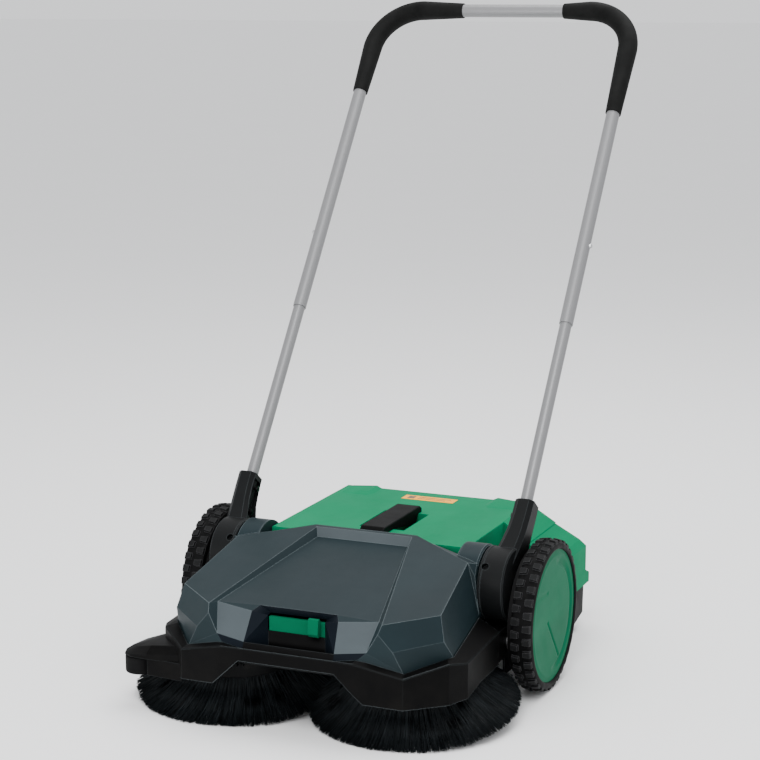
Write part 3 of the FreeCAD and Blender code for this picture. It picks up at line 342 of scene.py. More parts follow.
# A darker copy of the green plastic: painted shade on the sideways-facing wheel caps and on the slider
# in the window.
PAINTED_SHADE_GREEN = moulded_plastic(
    "cap_green_plastic", (0.0, 0.098, 0.045), 0.42, wear=0.01, dust=0.02, shine=0.02)
RIM = moulded_plastic("rim_plastic", (0.003, 0.003, 0.0032), 0.5, wear=0.05, dust=0.05, shine=0.08)
TYRE = tyre_rubber("tyre_rubber", (0.0010, 0.0010, 0.0011))
TREAD = tyre_rubber("tread_rubber", (0.0052, 0.0054, 0.0056))
RUBBER = soft_rubber()
FOAM = grip_foam()
TUBE = painted_tube()
STEEL = plated_steel("plated_steel", (0.55, 0.55, 0.56))
BLACK_STEEL = plated_steel("blackened_steel", (0.035, 0.035, 0.037))
NYLON = nylon_gear()
FIBRE = bristle_fibre()
FILM = warning_film()
INK = film_ink()
FINISHES = {
    "hood_plastic": HOOD_PAINT, "black_plastic": BLACK, "green_plastic": GREEN,
    "rim_plastic": RIM, "tyre": TYRE, "rubber": RUBBER, "foam": FOAM, "tube": TUBE,
    "steel": STEEL, "gear_plastic": NYLON, "bristle": FIBRE,
}
# CAD nodes whose steel is blackened.
BLACKENED = ("bracket_screws", "pivot_bolts", "roller_core")


# ------------------------------------------------------------------ mesh helpers

def placed(name, data):
    """An object of this data, linked to the scene."""
    item = bpy.data.objects.new(name, data)
    bpy.context.scene.collection.objects.link(item)
    return item


def mesh_data(name, mesh):
    """Turns a bmesh into mesh data and frees it."""
    data = bpy.data.meshes.new(name)
    mesh.to_mesh(data)
    mesh.free()
    return data


def new_piece(name, mesh, body, finish, nodes=()):
    """Makes the object of a finished bmesh, paints it and lets it ride on its body."""
    piece = placed(name, mesh_data(name, mesh))
    for item in finish if isinstance(finish, list) else [finish]:
        piece.data.materials.append(item)
    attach(piece, body)
    if nodes:
        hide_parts(*nodes)
    return piece


def smooth(piece, degrees):
    """Smooth shading, with edges kept sharp where they turn by more than this angle."""
    for face in piece.data.polygons:
        face.use_smooth = True
    piece.data.set_sharp_from_angle(angle=math.radians(degrees))


def bevelled(piece, width, segments=2, degrees=25):
    """Rounds the edges that turn by more than this angle; the width is in millimetres."""
    sharp_from = 40
    modifier = piece.modifiers.new("edges", "BEVEL")
    modifier.width = width * MM
    modifier.segments = segments
    modifier.limit_method = "ANGLE"
    modifier.angle_limit = math.radians(degrees)
    modifier.harden_normals = True
    modifier.use_clamp_overlap = True
    smooth(piece, sharp_from)
    return piece


def solid_mesh(corners, faces):
    """A bmesh from named corners in the machine's millimetres; faces name their corners."""
    mesh = bmesh.new()
    spots = {key: mesh.verts.new(at(*place)) for key, place in corners.items()}
    for face in faces:
        mesh.faces.new([spots[key] for key in face])
    bmesh.ops.recalc_face_normals(mesh, faces=mesh.faces)
    return mesh


def with_left_side(corners, faces):
    """Adds the left-hand twin of each right-hand corner and face. Corners at x 0 are shared."""
    every = dict(corners)
    twin = {}
    for key, (x, y, z) in corners.items():
        twin[key] = key if x == 0 else "-" + key
        every[twin[key]] = (-x if x else 0, y, z)
    mirrored = [[twin[key] for key in reversed(face)] for face in faces]
    return every, list(faces) + mirrored


def refined(node, width, segments=2, degrees=28):
    """A copy of a CAD node's mesh with flat areas made whole and its edges rounded."""
    source = frame["nodes"][node]
    mesh = bmesh.new()
    mesh.from_mesh(source.data)
    bmesh.ops.remove_doubles(mesh, verts=mesh.verts, dist=SAME_PLACE)
    bmesh.ops.dissolve_limit(mesh, angle_limit=NEARLY_FLAT, verts=mesh.verts, edges=mesh.edges)
    bmesh.ops.recalc_face_normals(mesh, faces=mesh.faces)
    slot_name = SLOT_OF[node]
    piece = new_piece(node + "_skin", mesh, source["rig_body"], FINISHES[slot_name], (node,))
    return bevelled(piece, width, segments, degrees)


def applied(piece):
    """The mesh that a piece's modifiers make."""
    graph = bpy.context.evaluated_depsgraph_get()
    graph.update()
    return bpy.data.meshes.new_from_object(piece.evaluated_get(graph))


def helper_object(name, mesh):
    """A short-lived object for a modifier to use, of a bmesh or of mesh data."""
    return placed(name, mesh_data(name, mesh) if isinstance(mesh, bmesh.types.BMesh) else mesh)


def combined(base, tools):
    """A bmesh of the base mesh, joined with or cut by each (operation, mesh) tool in turn."""
    item = helper_object("base", base)
    helpers = [item]
    for operation, tool in tools:
        helpers.append(helper_object("tool", tool))
        modifier = item.modifiers.new("step", "BOOLEAN")
        modifier.operation = operation
        modifier.solver = "EXACT"
        modifier.object = helpers[-1]
    result = bmesh.new()
    result.from_mesh(applied(item))
    for helper in helpers:
        bpy.data.objects.remove(helper)
    return result


def tube(mesh, rings):
    """Adds an open tube through rings of points of the same count. Gives back both end rings."""
    rows = [[mesh.verts.new(point) for point in ring] for ring in rings]
    count = len(rows[0])
    for first, second in zip(rows, rows[1:]):
        for index in range(count):
            after = (index + 1) % count
            mesh.faces.new((first[index], second[index], second[after], first[after]))
    return rows[0], rows[-1]


def loft(rings):
    """A closed bmesh through rings of points, with its faces turned outwards."""
    mesh = bmesh.new()
    for end in tube(mesh, rings):
        mesh.faces.new(end)
    bmesh.ops.recalc_face_normals(mesh, faces=mesh.faces)
    return mesh


def prism(plan, low, high):
    """A closed bmesh over a plan of (x, y) between two heights, in the machine's millimetres."""
    return loft([[at(x, y, z) for x, y in plan] for z in (low, high)])


def rectangle(x0, x1, y0, y1):
    """The four corners of a rectangle."""
    return [(x0, y0), (x1, y0), (x1, y1), (x0, y1)]


def cut_rectangle(x0, x1, y0, y1, cut):
    """The eight corners of a rectangle whose corners are cut off."""
    return [(x0 + cut, y0), (x1 - cut, y0), (x1, y0 + cut), (x1, y1 - cut),
            (x1 - cut, y1), (x0 + cut, y1), (x0, y1 - cut), (x0, y0 + cut)]


def circle(centre, across, along, radius, steps):
    """Points of a circle in the plane of two unit vectors; the radius is in millimetres."""
    angles = [2 * math.pi * step / steps for step in range(steps)]
    return [centre + (across * math.cos(angle) + along * math.sin(angle)) * radius * MM
            for angle in angles]


def finish_cad_nodes():
    """Every CAD node gets the finish of its material slot."""
    for node, item in frame["nodes"].items():
        finish = BLACK_STEEL if node in BLACKENED else FINISHES[SLOT_OF[node]]
        item.data.materials.clear()
        item.data.materials.append(finish)


def turned_mesh(profile, centre, steps):
    """A bmesh turned about x through a centre: the closed profile lists (along x, radius) in mm."""
    mesh = bmesh.new()
    rings = []
    for along_x, radius in profile:
        middle = centre + Vector((along_x * MM, 0, 0))
        rings.append([mesh.verts.new(point) for point in circle(
            middle, Vector((0, 0, 1)), Vector((0, -1, 0)), radius, steps)])
    for inner, outer in zip(rings, rings[1:]):
        for step in range(steps):
            after = (step + 1) % steps
            mesh.faces.new((inner[step], outer[step], outer[after], inner[after]))
    bmesh.ops.remove_doubles(mesh, verts=mesh.verts, dist=SAME_PLACE)
    return mesh


# ------------------------------------------------------------------ hood

def hood_body():
    """The faceted cover over the brushes: right half named, left half mirrored.

    Each face's material index says its group: paint, recess (painted shade), dark (black as painted
    shade), light facet (painted light), opening.
    """
    corners = {
        "crest_mid": (0, -48, 232), "crest": (84, -48, 232),
        "brow_mid": (0, -56, 231), "brow": (79, -56, 231),
        "panel_back_mid": (0, -63, 217), "panel_back": (75, -63, 217),
        "notch_mid": (0, -291, 173.9), "notch": (61, -291, 173.9), "panel_front": (127, -296, 173),
        "sill_side": (68, -304, 168), "light_foot": (117, -319, 133), "sill_foot": (71, -326, 128),
        "ridge_front": (136, -307, 173), "ridge_low": (133, -315, 161),
        "pod_corner": (204, -254, 180), "pod_back": (190, -110, 217),
        "pod_low_in": (153.9, -311.2, 136.4), "pod_low_out": (213, -264, 145),
        "seam_in": (107, -325, 124), "seam_tip": (169, -309, 107),
        "seam_side": (220, -248, 120), "seam_back": (207, -107, 138),
        "sill_mid": (0, -327, 128), "strip_mid": (0, -331, 119), "strip": (71, -330, 119),
        "slot_top_mid": (0, -291.4, 165), "slot_top": (45, -291.4, 165), "slot_side": (45, -298.5, 163),
        "slot_floor": (45, -298.5, 117), "slot_floor_mid": (0, -298.5, 117),
        "slot_foot": (45, -298.5, 139.5), "slot_foot_mid": (0, -298.5, 139.5),
        "strip_foot_mid": (0, -331, 110), "strip_foot": (71, -330, 110), "foot_in": (107, -325, 113),
        "foot_tip": (169, -309, 98), "foot_side": (220, -248, 110), "foot_back": (207, -107, 128),
        "flank_top": (200, -98, 214), "flank_low": (200, -107, 196),
        "back_mid": (0, -47, 228), "back": (84, -47, 228), "back_side": (186, -47, 200),
        "back_low": (200, -47, 126), "back_low_mid": (0, -47, 118),
    }
    faces = [
        ["crest_mid", "crest", "brow", "brow_mid"],
        ["panel_back_mid", "panel_back", "panel_front", "notch", "notch_mid"],
        ["brow", "ridge_front", "panel_front", "panel_back"],
        ["ridge_front", "ridge_low", "light_foot", "panel_front"],
        ["notch", "panel_front", "sill_side"],
        ["crest", "pod_back", "pod_corner", "ridge_front", "brow"],
        ["ridge_front", "pod_corner", "pod_low_out", "pod_low_in", "ridge_low"],
        ["ridge_low", "pod_low_in", "seam_tip", "light_foot"],
        ["light_foot", "seam_tip", "seam_in"],
        ["strip_mid", "strip", "strip_foot", "strip_foot_mid"],
        ["strip", "seam_in", "foot_in", "strip_foot"],
        ["seam_in", "seam_tip", "foot_tip", "foot_in"],
        ["seam_tip", "seam_side", "foot_side", "foot_tip"],
        ["seam_side", "seam_back", "foot_back", "foot_side"],
        ["pod_low_in", "pod_low_out", "seam_side", "seam_tip"],
        ["pod_corner", "pod_back", "seam_back", "seam_side", "pod_low_out"],
        ["pod_back", "flank_top", "flank_low"],
        ["pod_back", "flank_low", "seam_back"],
        ["crest", "back", "back_side", "flank_top", "pod_back"],
        ["crest_mid", "back_mid", "back", "crest"],
        ["flank_top", "back_side", "back_low", "foot_back", "seam_back", "flank_low"],
        ["back_mid", "back_low_mid", "back_low", "back_side", "back"],
    ]
    # The recess walls round the slot, in painted shade.
    recess_in_painted_shade = [
        ["sill_foot", "light_foot", "seam_in", "strip"],
        ["notch_mid", "notch", "slot_top", "slot_top_mid"],
        ["notch", "sill_side", "slot_side", "slot_top"],
        ["sill_side", "sill_foot", "slot_side"],
        ["sill_foot", "slot_foot", "slot_side"],
        ["sill_foot", "slot_floor", "slot_foot"],
    ]
    # Facets that face the front lamps, painted in the paler copy as painted light.
    painted_light_facets = [
        ["brow_mid", "brow", "panel_back", "panel_back_mid"],
        ["panel_front", "light_foot", "sill_foot", "sill_side"],
    ]
    # Painted shade: the band below the window and the slot's back wall and floor are given black
    # plastic where the hood is in shadow.
    dark = [
        ["sill_mid", "sill_foot", "strip", "strip_mid"],
        ["slot_floor_mid", "slot_floor", "slot_foot", "slot_foot_mid"],
        ["sill_mid", "slot_floor_mid", "slot_floor", "sill_foot"],
    ]
    openings = [
        ["slot_top_mid", "slot_top", "slot_side", "slot_foot", "slot_foot_mid"],
        ["strip_foot_mid", "strip_foot", "foot_in", "foot_tip", "foot_side", "foot_back", "back_low",
         "back_low_mid"],
    ]
    groups = (faces, recess_in_painted_shade, dark, painted_light_facets, openings)
    slots = [index for index, group in enumerate(groups) for _ in group]
    every, all_faces = with_left_side(corners, [face for group in groups for face in group])
    mesh = solid_mesh(every, all_faces)
    for index, face in enumerate(mesh.faces):
        face.material_index = slots[index % len(slots)]
    return mesh


def shoulder(side):
    """Round boss beside the pivot drum, flat underneath where it stands on the chassis."""
    radius = 57.5
    edge = 2.5
    inner = 164
    outer = 200
    steps = 40
    half_turn = math.radians(112)
    rings = []
    for along_x, ring_radius in ((inner, radius), (outer - edge, radius), (outer, radius - edge)):
        ring = []
        for step in range(steps + 1):
            angle = -half_turn + 2 * half_turn * step / steps
            ring.append(Vector((
                side * along_x * MM,
                PIVOT.y - math.sin(angle) * ring_radius * MM,
                PIVOT.z + math.cos(angle) * ring_radius * MM)))
        rings.append(ring)
    return loft(rings)


def make_hood():
    """The hood: its body and shoulders as one skin, opened below and behind the slider."""
    shortest_edge = 0.0001
    wall_thickness = 2.2
    finishes = [HOOD_PAINT, HOOD_PAINTED_SHADE, BLACK, HOOD_PAINTED_LIGHT]
    opening = len(finishes)
    plain = mesh_data("hood_plain", hood_body())
    # The openings need a slot of their own, any finish will do, until their faces are deleted.
    for finish in [*finishes, RUBBER]:
        plain.materials.append(finish)
    shoulders = []
    for side in SIDES.values():
        boss = mesh_data("shoulder", shoulder(side))
        boss.materials.append(HOOD_PAINT)
        shoulders.append(("UNION", boss))
    mesh = combined(plain, shoulders)
    open_faces = [face for face in mesh.faces if face.material_index == opening]
    bmesh.ops.delete(mesh, geom=open_faces, context="FACES")
    bmesh.ops.dissolve_degenerate(mesh, edges=mesh.edges, dist=shortest_edge)
    hood = new_piece("hood_cover", mesh, "root", finishes, ("hood",))
    bevelled(hood, 1.3, 2, 7)
    wall = hood.modifiers.new("wall", "SOLIDIFY")
    wall.thickness = wall_thickness * MM
    wall.offset = -1


# ------------------------------------------------------------------ chassis

# Stations round the skirt from its middle to the wheel: outer x and y, height of the lip, of the
# bottom edge, and the inner edge of the ledge, where the hood stands.
SKIRT = [
    ((0, -338), 122, 102, (0, -330.5, 119.3)),
    ((75, -338), 122, 102, (72, -329.5, 119.4)),
    ((104, -338), 121.5, 75, (104, -325.2, 123.7)),
    ((118, -335.2), 118, 62, (115, -322.6, 122.1)),
    ((174.5, -323), 103.5, 57, (169, -308.7, 107.3)),
    ((226, -277), 118, 57, (213.5, -255, 118.6)),
    ((242, -245), 112, 59, (219.6, -247.8, 120.2)),
    ((242, -192), 115, 67, (214.6, -192, 127.3)),
    ((242, -130), 118.5, 68, (208.9, -130, 135.3)),
    ((241, -113), 119.5, 68, (207.3, -113, 137.4)),
]


def skirt_stations():
    """Side, outer edge, lip, bottom, inner edge and outward direction, from the left wheel round.

    Outward is away from a point on the middle line, and straight ahead on that line.
    """
    fan_y = 215
    for side in (-1, 1):
        for (x, y), lip, bottom, inner in SKIRT if side == 1 else SKIRT[:0:-1]:
            outward = Vector((x, y + fan_y, 0)).normalized() if x else Vector((0, -1, 0))
            yield side, Vector((x, y, 0)), lip, bottom, Vector(inner), outward


def make_skirt():
    """The black skirt: a ledge with a groove along the hood, and an outer wall with a sharp lip."""
    thickness = 3.2
    groove = 1.8
    groove_depth = 4
    ledge_depth = 8
    ledge_drop = 0.2
    lip_width = 1.2
    lip_drop = 1.6
    below_lip = 10
    rings = []
    for side, outer, lip, bottom, inner, outward in skirt_stations():
        back = outer - outward * thickness
        gap = inner + outward * groove
        shelf = outer - outward * lip_width
        ring = [
            (inner.x, inner.y, inner.z - ledge_depth), (inner.x, inner.y, inner.z - groove_depth),
            (gap.x, gap.y, inner.z - groove_depth), (gap.x, gap.y, inner.z - ledge_drop),
            (shelf.x, shelf.y, lip), (outer.x, outer.y, lip - lip_drop),
            (outer.x, outer.y, bottom), (back.x, back.y, bottom + 1),
            (back.x, back.y, lip - below_lip),
        ]
        rings.append([at(side * x, y, z) for x, y, z in ring])
    skirt = new_piece("chassis_skirt", loft(rings), "root", SKIRT_BLACK, ("chassis",))
    bevelled(skirt, 0.9, 2, 12)


def ledge_room():
    """A bmesh of the room above the skirt's ledge, for the hood to stand in."""
    margin = 3.0
    depth = 6.0
    sky = 260.0
    rings = []
    for side, outer, lip, _, inner, outward in skirt_stations():
        near = inner - outward * margin
        far = outer + outward * margin
        rings.append([at(side * spot.x, spot.y, height) for spot, height in (
            (near, inner.z - depth), (far, lip - depth), (far, sky), (near, sky))])
    return loft(rings)


def make_chassis_frame():
    """The rest of the chassis: its deck, wings and bosses, without the outer skirt."""
    inset = 7.0
    front = -319.0
    wing = 238
    rear = 130
    outline = [(x - min(inset, x), max(y + inset, front)) for (x, y), *_ in SKIRT]
    right = outline + [(wing, SKIRT[-1][0][1]), (wing, rear)]
    plan = right + [(-x, y) for x, y in reversed(right) if x]
    room = prism(plan, 5, 260)
    source = bmesh.new()
    source.from_mesh(frame["nodes"]["chassis"].data)
    bmesh.ops.remove_doubles(source, verts=source.verts, dist=SAME_PLACE)
    mesh = combined(source, [("INTERSECT", room), ("DIFFERENCE", ledge_room())])
    bmesh.ops.dissolve_limit(mesh, angle_limit=NEARLY_FLAT, verts=mesh.verts, edges=mesh.edges)
    frame_piece = new_piece("chassis_frame", mesh, "root", BLACK, ("chassis",))
    bevelled(frame_piece, 0.6, 1, 30)


def make_guide_cover():
    """Wing over the guide roller, grown out of the skirt's left corner, and the web that carries it."""
    low = 76
    # Each corner's edge (x, y) and height, then its place (x, y) and height on the top.
    corners = {
        "join": ((176, -314), 89, (186, -309), 101.5),
        "front": ((238, -316), 83, (236, -303), 94),
        "nose": ((266, -314), 80, (258, -299), 89),
        "corner": ((279, -306), 79, (268, -292), 87.5),
        "tip": ((285, -290), 79.5, (276, -286), 85.5),
        "heel": ((282, -272), 81, (272, -271), 86.5),
        "back": ((272, -256), 84, (266, -258), 88.5),
        "rear_join": ((238, -238), 93, (235, -241), 97),
    }
    mesh = bmesh.new()
    rows = []
    for (x, y), edge, (top_x, top_y), top in corners.values():
        rows.append([mesh.verts.new(at(-x, y, low)), mesh.verts.new(at(-x, y, edge)),
                     mesh.verts.new(at(-top_x, top_y, top))])
    peak = mesh.verts.new(at(-232, -272, 101))
    count = len(rows)
    for index in range(count):
        after = (index + 1) % count
        for level in (0, 1):
            mesh.faces.new((rows[index][level], rows[index][level + 1],
                            rows[after][level + 1], rows[after][level]))
        mesh.faces.new((rows[index][2], peak, rows[after][2]))
    mesh.faces.new([row[0] for row in rows])
    bmesh.ops.recalc_face_normals(mesh, faces=mesh.faces)
    cover = new_piece("guide_wing", mesh, "root", BLACK, ("guide_cover",))
    bevelled(cover, 1.2, 2, 14)
    web_low = 51
    web = prism([(-178, -318), (-238, -313), (-238, -309.5), (-176, -314.5)], web_low, low + 2)
    bevelled(new_piece("guide_web", web, "root", BLACK), 0.8)


# ------------------------------------------------------------------ wheels

def make_tyre(side_name):
    """Rubber tyre: carcass with round shoulders and two staggered rows of tread blocks."""
    side = SIDES[side_name]
    low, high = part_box("tyre_" + side_name)
    outer = max(abs(low.x), abs(high.x)) / MM
    half = 17.0
    centre = Vector((side * (outer - half) * MM, AXLE.y, AXLE.z))
    radius = (high.z - low.z) / 2 / MM
    tread = radius - 4.6
    block_base = tread - 2.0
    seat = radius - 15
    profile = [
        (-half + 1.5, seat), (-half, seat + 2), (-half, tread - 5.5), (-half + 1.2, tread - 2.2),
        (-half + 3.6, tread - 0.5), (-half + 7, tread), (half - 7, tread), (half - 3.6, tread - 0.5),
        (half - 1.2, tread - 2.2), (half, tread - 5.5), (half, seat + 2), (half - 1.5, seat),
        (-half + 1.5, seat),
    ]
    mesh = turned_mesh(profile, centre, 144)
    blocks = 36
    pitch = 2 * math.pi / blocks
    half_block = 0.28 * pitch
    gap = 3.0
    margin = 1.6
    for row, span in enumerate(((-half + margin, -gap), (gap, half - margin))):
        for index in range(blocks):
            middle = pitch * (index + 0.5 * row)
            add_block(mesh, centre, middle, half_block, span, (block_base, radius), row == 1)
    bmesh.ops.recalc_face_normals(mesh, faces=mesh.faces)
    tyre = new_piece("tyre_tread_" + side_name, mesh, "wheel_" + side_name, [TYRE, TREAD],
                     ("tyre_" + side_name,))
    bevelled(tyre, 0.6, 2, 30)


def add_block(mesh, centre, middle, half_angle, span, radii, edge_is_last):
    """One tread block over a span of x, wider at the tyre's edge and narrower at its top."""
    edge_drop = 1.7
    draft = 0.7
    base, top = radii
    edge = span[1] if edge_is_last else span[0]
    spots = []
    for radius, grow in ((base, 1.0), (top, 0.82)):
        for along_x in span:
            drop = edge_drop if along_x == edge and radius == top else 0.0
            width = grow * (1.12 if along_x == edge else 0.88)
            lean = draft * (1 if along_x == span[0] else -1) if radius == top else 0.0
            for turn in (-1, 1):
                angle = middle + turn * half_angle * width
                spots.append(mesh.verts.new(centre + Vector((
                    (along_x + lean) * MM, -math.sin(angle) * (radius - drop) * MM,
                    math.cos(angle) * (radius - drop) * MM))))
    for face in ((4, 5, 7, 6), (0, 1, 5, 4), (2, 3, 7, 6), (0, 2, 6, 4), (1, 3, 7, 5), (0, 1, 3, 2)):
        mesh.faces.new([spots[index] for index in face]).material_index = 1


def ridge(distance, width):
    """Height of a soft ridge at a distance from its middle line."""
    return math.exp(-(distance / width) ** 2)


def segment_distance(point, start, end):
    """Distance of a point from the stretch between two others."""
    along = end - start
    share = max(0.0, min(1.0, (point - start).dot(along) / along.length_squared))
    return (point - start - along * share).length


def cap_height(y, z):
    """Relief of a wheel cap in mm, above its flat face. y and z are from the wheel's centre."""
    point = Vector((y, z))
    radius = point.length
    turn = math.degrees(math.atan2(z, y))
    rolled_edge = -7.7 * max(0.0, radius / 101 - 0.9)
    outer_ring = 0.3 * ridge(radius - 92, 2.2)
    sweep = max(0.0, min(1.0, (84 - turn) / 16, (turn + 96) / 18))
    step = 1 / (1 + math.exp(-(radius - 79) / 0.9))
    fade = 1 / (1 + math.exp((radius - 87) / 1.6))
    long_groove = 2.6 * ridge(segment_distance(point, Vector((-28, -4)), Vector((27, -72))), 1.7)
    short_groove = 1.0 * ridge(segment_distance(point, Vector((-80, 47)), Vector((-30, 43))), 2.4)
    return rolled_edge + outer_ring - 2.8 * sweep * step * fade - long_groove - short_groove


def make_cap(side_name):
    """Green wheel cap: a polar grid that carries the relief, closed by a flat back."""
    side = SIDES[side_name]
    low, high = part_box("wheel_cap_" + side_name)
    face = (high.x if side > 0 else low.x) / MM
    rim = (high.z - low.z) / 2 / MM
    dish = 2.2
    thickness = 6.5
    around = 180
    rows = 60
    mesh = bmesh.new()

    def spot(radius, step, back=False):
        angle = 2 * math.pi * step / around
        y = radius * math.cos(angle)
        z = radius * math.sin(angle)
        depth = thickness if back else dish - cap_height(y, z)
        return mesh.verts.new(Vector(((face - side * depth) * MM, AXLE.y + y * MM, AXLE.z + z * MM)))

    centre = spot(0, 0)
    rings = [[spot(rim * (row / rows) ** 0.9, step) for step in range(around)]
             for row in range(1, rows + 1)]
    back = [spot(rim, step, back=True) for step in range(around)]
    for step in range(around):
        after = (step + 1) % around
        mesh.faces.new((centre, rings[0][step], rings[0][after]))
        for inner, outer in zip(rings, rings[1:]):
            mesh.faces.new((inner[step], outer[step], outer[after], inner[after]))
        mesh.faces.new((rings[-1][step], back[step], back[after], rings[-1][after]))
    mesh.faces.new(back)
    bmesh.ops.recalc_face_normals(mesh, faces=mesh.faces)
    # The cap takes the darker green, as painted shade.
    cap = new_piece("cap_" + side_name, mesh, "wheel_" + side_name, PAINTED_SHADE_GREEN,
                    ("wheel_cap_" + side_name,))
    smooth(cap, 50)


# ------------------------------------------------------------------ brushes

def strand(mesh, spine, thick, thin, turn):
    """A three-sided filament along a list of points."""
    rings = []
    last = len(spine) - 1
    for index, point in enumerate(spine):
        along = (spine[min(index + 1, last)] - spine[max(index - 1, 0)]).normalized()
        side = along.orthogonal().normalized()
        radius = thick + (thin - thick) * index / last
        spins = [Matrix.Rotation(turn + corner * 2 * math.pi / 3, 3, along) for corner in range(3)]
        rings.append([point + spin @ side * radius for spin in spins])
    start, stop = tube(mesh, rings)
    mesh.faces.new(reversed(start))
    mesh.faces.new(stop)


def make_disc_bristles(side_name, seed):
    """The flared ring of filaments under one disc brush, splayed where it meets the ground."""
    joint = JOINTS["brush_spin_" + side_name]
    origin = Vector(joint["pos_m"])
    normal = Vector(joint["axis"]).normalized()
    across = Vector((1, 0, 0))
    ahead = normal.cross(across)
    draw = random.Random(seed)
    mesh = bmesh.new()
    # Each row's radius at the plate and at the tips. The left brush has taken a set towards its
    # outer side; the right one is a little more worn.
    rows = [(62, 120), (70, 134), (77, 147), (83, 156), (88, 161), (92, 162.5)]
    trim, pull = (0.0, 5.0) if side_name == "left" else (5.5, 0.0)
    drag = Vector((-pull * MM, 0, 0))
    root_height = 47
    tip_height = 2.0
    droop = 0.18
    tufts = 120
    filaments = 15
    # Tufts and filaments stray by chance: their angles in radians, their lengths in millimetres.
    for row_index, (root, reach) in enumerate(rows):
        for tuft in range(tufts):
            tuft_place = tuft + 0.5 * (row_index % 2) + draw.uniform(-0.12, 0.12)
            tuft_angle = 2 * math.pi * tuft_place / tufts
            tuft_lean = draw.gauss(0, 0.014)
            tuft_reach = reach - trim + draw.gauss(0, 0.9)
            tuft_lift = draw.gauss(0, 0.8)
            for _ in range(filaments):
                angle = tuft_angle + draw.gauss(0, 0.012)
                end_angle = angle + tuft_lean + draw.gauss(0, 0.020)
                start = root + draw.uniform(-2.2, 2.2)
                stop = tuft_reach - abs(draw.gauss(0, 2.2))
                stop_height = max(0.0, tip_height + tuft_lift + draw.gauss(0, 1.6))
                spine = []
                for share in (0.0, 0.33, 0.68, 1.0):
                    turn = angle + (end_angle - angle) * share
                    out = start + (stop - start) * ((1 - droop) * share + droop * share * share)
                    up = root_height + (stop_height - root_height) * share ** 0.93
                    point = origin + (across * math.cos(turn) + ahead * math.sin(turn)) * out * MM
                    point += normal * up * MM + drag * share * share
                    point.z = max(point.z, (0.6 + 2.2 * share * draw.random()) * MM)
                    spine.append(point)
                strand(mesh, spine, 0.52 * MM, 0.34 * MM, draw.uniform(0, 2))
    piece = new_piece("bristles_" + side_name, mesh, "brush_" + side_name, FIBRE,
                      ("brush_bristles_" + side_name,))
    for face in piece.data.polygons:
        face.use_smooth = True


def make_roller_bristles():
    """Filaments of the rear roller in rows of tufts that wind round it."""
    origin = Vector(JOINTS["roller_spin"]["pos_m"])
    low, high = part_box("roller_bristles")
    reach = (high.z - low.z) / 2
    core = 0.018
    draw = random.Random(31)
    mesh = bmesh.new()
    tufts = 62
    rows = 6
    winding = 0.6
    for row in range(rows):
        for tuft in range(tufts):
            share = (tuft + 0.5) / tufts
            x = low.x + (high.x - low.x) * share
            angle = 2 * math.pi * (row / rows + share * winding)
            for _ in range(9):
                lean = draw.gauss(0, 0.075)
                slide = draw.gauss(0, 0.0022)
                stop = reach - abs(draw.gauss(0, 0.0012))
                spine = []
                for step in (0.0, 0.5, 1.0):
                    turn = angle + lean * step
                    out = core + (stop - core) * step
                    limit = min(max(x + slide * step, low.x), high.x)
                    spine.append(Vector((limit, origin.y - math.sin(turn) * out,
                                         origin.z + math.cos(turn) * out)))
                strand(mesh, spine, 0.0006, 0.0004, draw.uniform(0, 2))
    piece = new_piece("roller_tufts", mesh, "roller", FIBRE, ("roller_bristles",))
    for face in piece.data.polygons:
        face.use_smooth = True


# ------------------------------------------------------------------ handle and container

# Sections of a bracket's arm: height along the handle, x from and to, y from and to.
ARM_SECTIONS = [
    (0, 205, 241, -38, 42), (22, 206, 242, -33, 40), (44, 209, 244, -27, 32),
    (64, 213, 246, -23, 25), (84, 216.5, 247.5, -21, 21), (108, 218.5, 248.5, -20, 20),
    (132, 219, 249, -19, 19),
]


def make_bracket(side_name):
    """Pivot drum with a hollow arm round the tube's sleeve, and an index hole in the drum."""
    side = SIDES[side_name]
    inner = 202.2
    outer = 242.0
    radius = 56.0
    profile = [
        (inner, 0.5), (inner, radius - 1.5), (inner + 1.5, radius), (inner + 4.5, radius),
        (inner + 5.5, radius - 1.0), (outer - 2, radius - 1.0), (outer, radius - 3), (outer, 0.5),
        (inner, 0.5),
    ]
    axis_point = Vector((0, PIVOT.y, PIVOT.z))
    drum = turned_mesh([(side * x, ring) for x, ring in profile], axis_point, 96)
    bmesh.ops.recalc_face_normals(drum, faces=drum.faces)
    arm = loft([[on_handle(side * x, y, z) for x, y in cut_rectangle(x0, x1, y0, y1, 6.5)]
                for z, x0, x1, y0, y1 in ARM_SECTIONS])
    hollow = loft([[on_handle(side * x, y, z) for x, y in rectangle(198, 226, -half, half)]
                   for z, half in ((58, 16), (124, 13))])
    across = Vector((1, 0, 0))
    forward = Vector((0, math.cos(LEAN), -math.sin(LEAN)))
    tube_x = side * 232
    sleeve_radius = 10.8
    hole_radius = 5.5
    steps = 24
    sleeve = loft([circle(on_handle(tube_x, 0, z), across, forward, sleeve_radius, steps)
                   for z in (40, 131)])
    hole_at = at(side * 211, -94, 210)
    inward = (Vector((hole_at.x, PIVOT.y, PIVOT.z)) - hole_at).normalized()
    hole = loft([circle(hole_at + inward * depth, across, inward.cross(across), hole_radius, steps)
                 for depth in (-12 * MM, 9 * MM)])
    mesh = combined(drum, [("UNION", arm), ("DIFFERENCE", hollow), ("UNION", sleeve),
                           ("DIFFERENCE", hole)])
    bracket = new_piece("bracket_arm_" + side_name, mesh, "handle", BRACKET,
                        ("handle_bracket_" + side_name,))
    bevelled(bracket, 1.3, 3, 24)


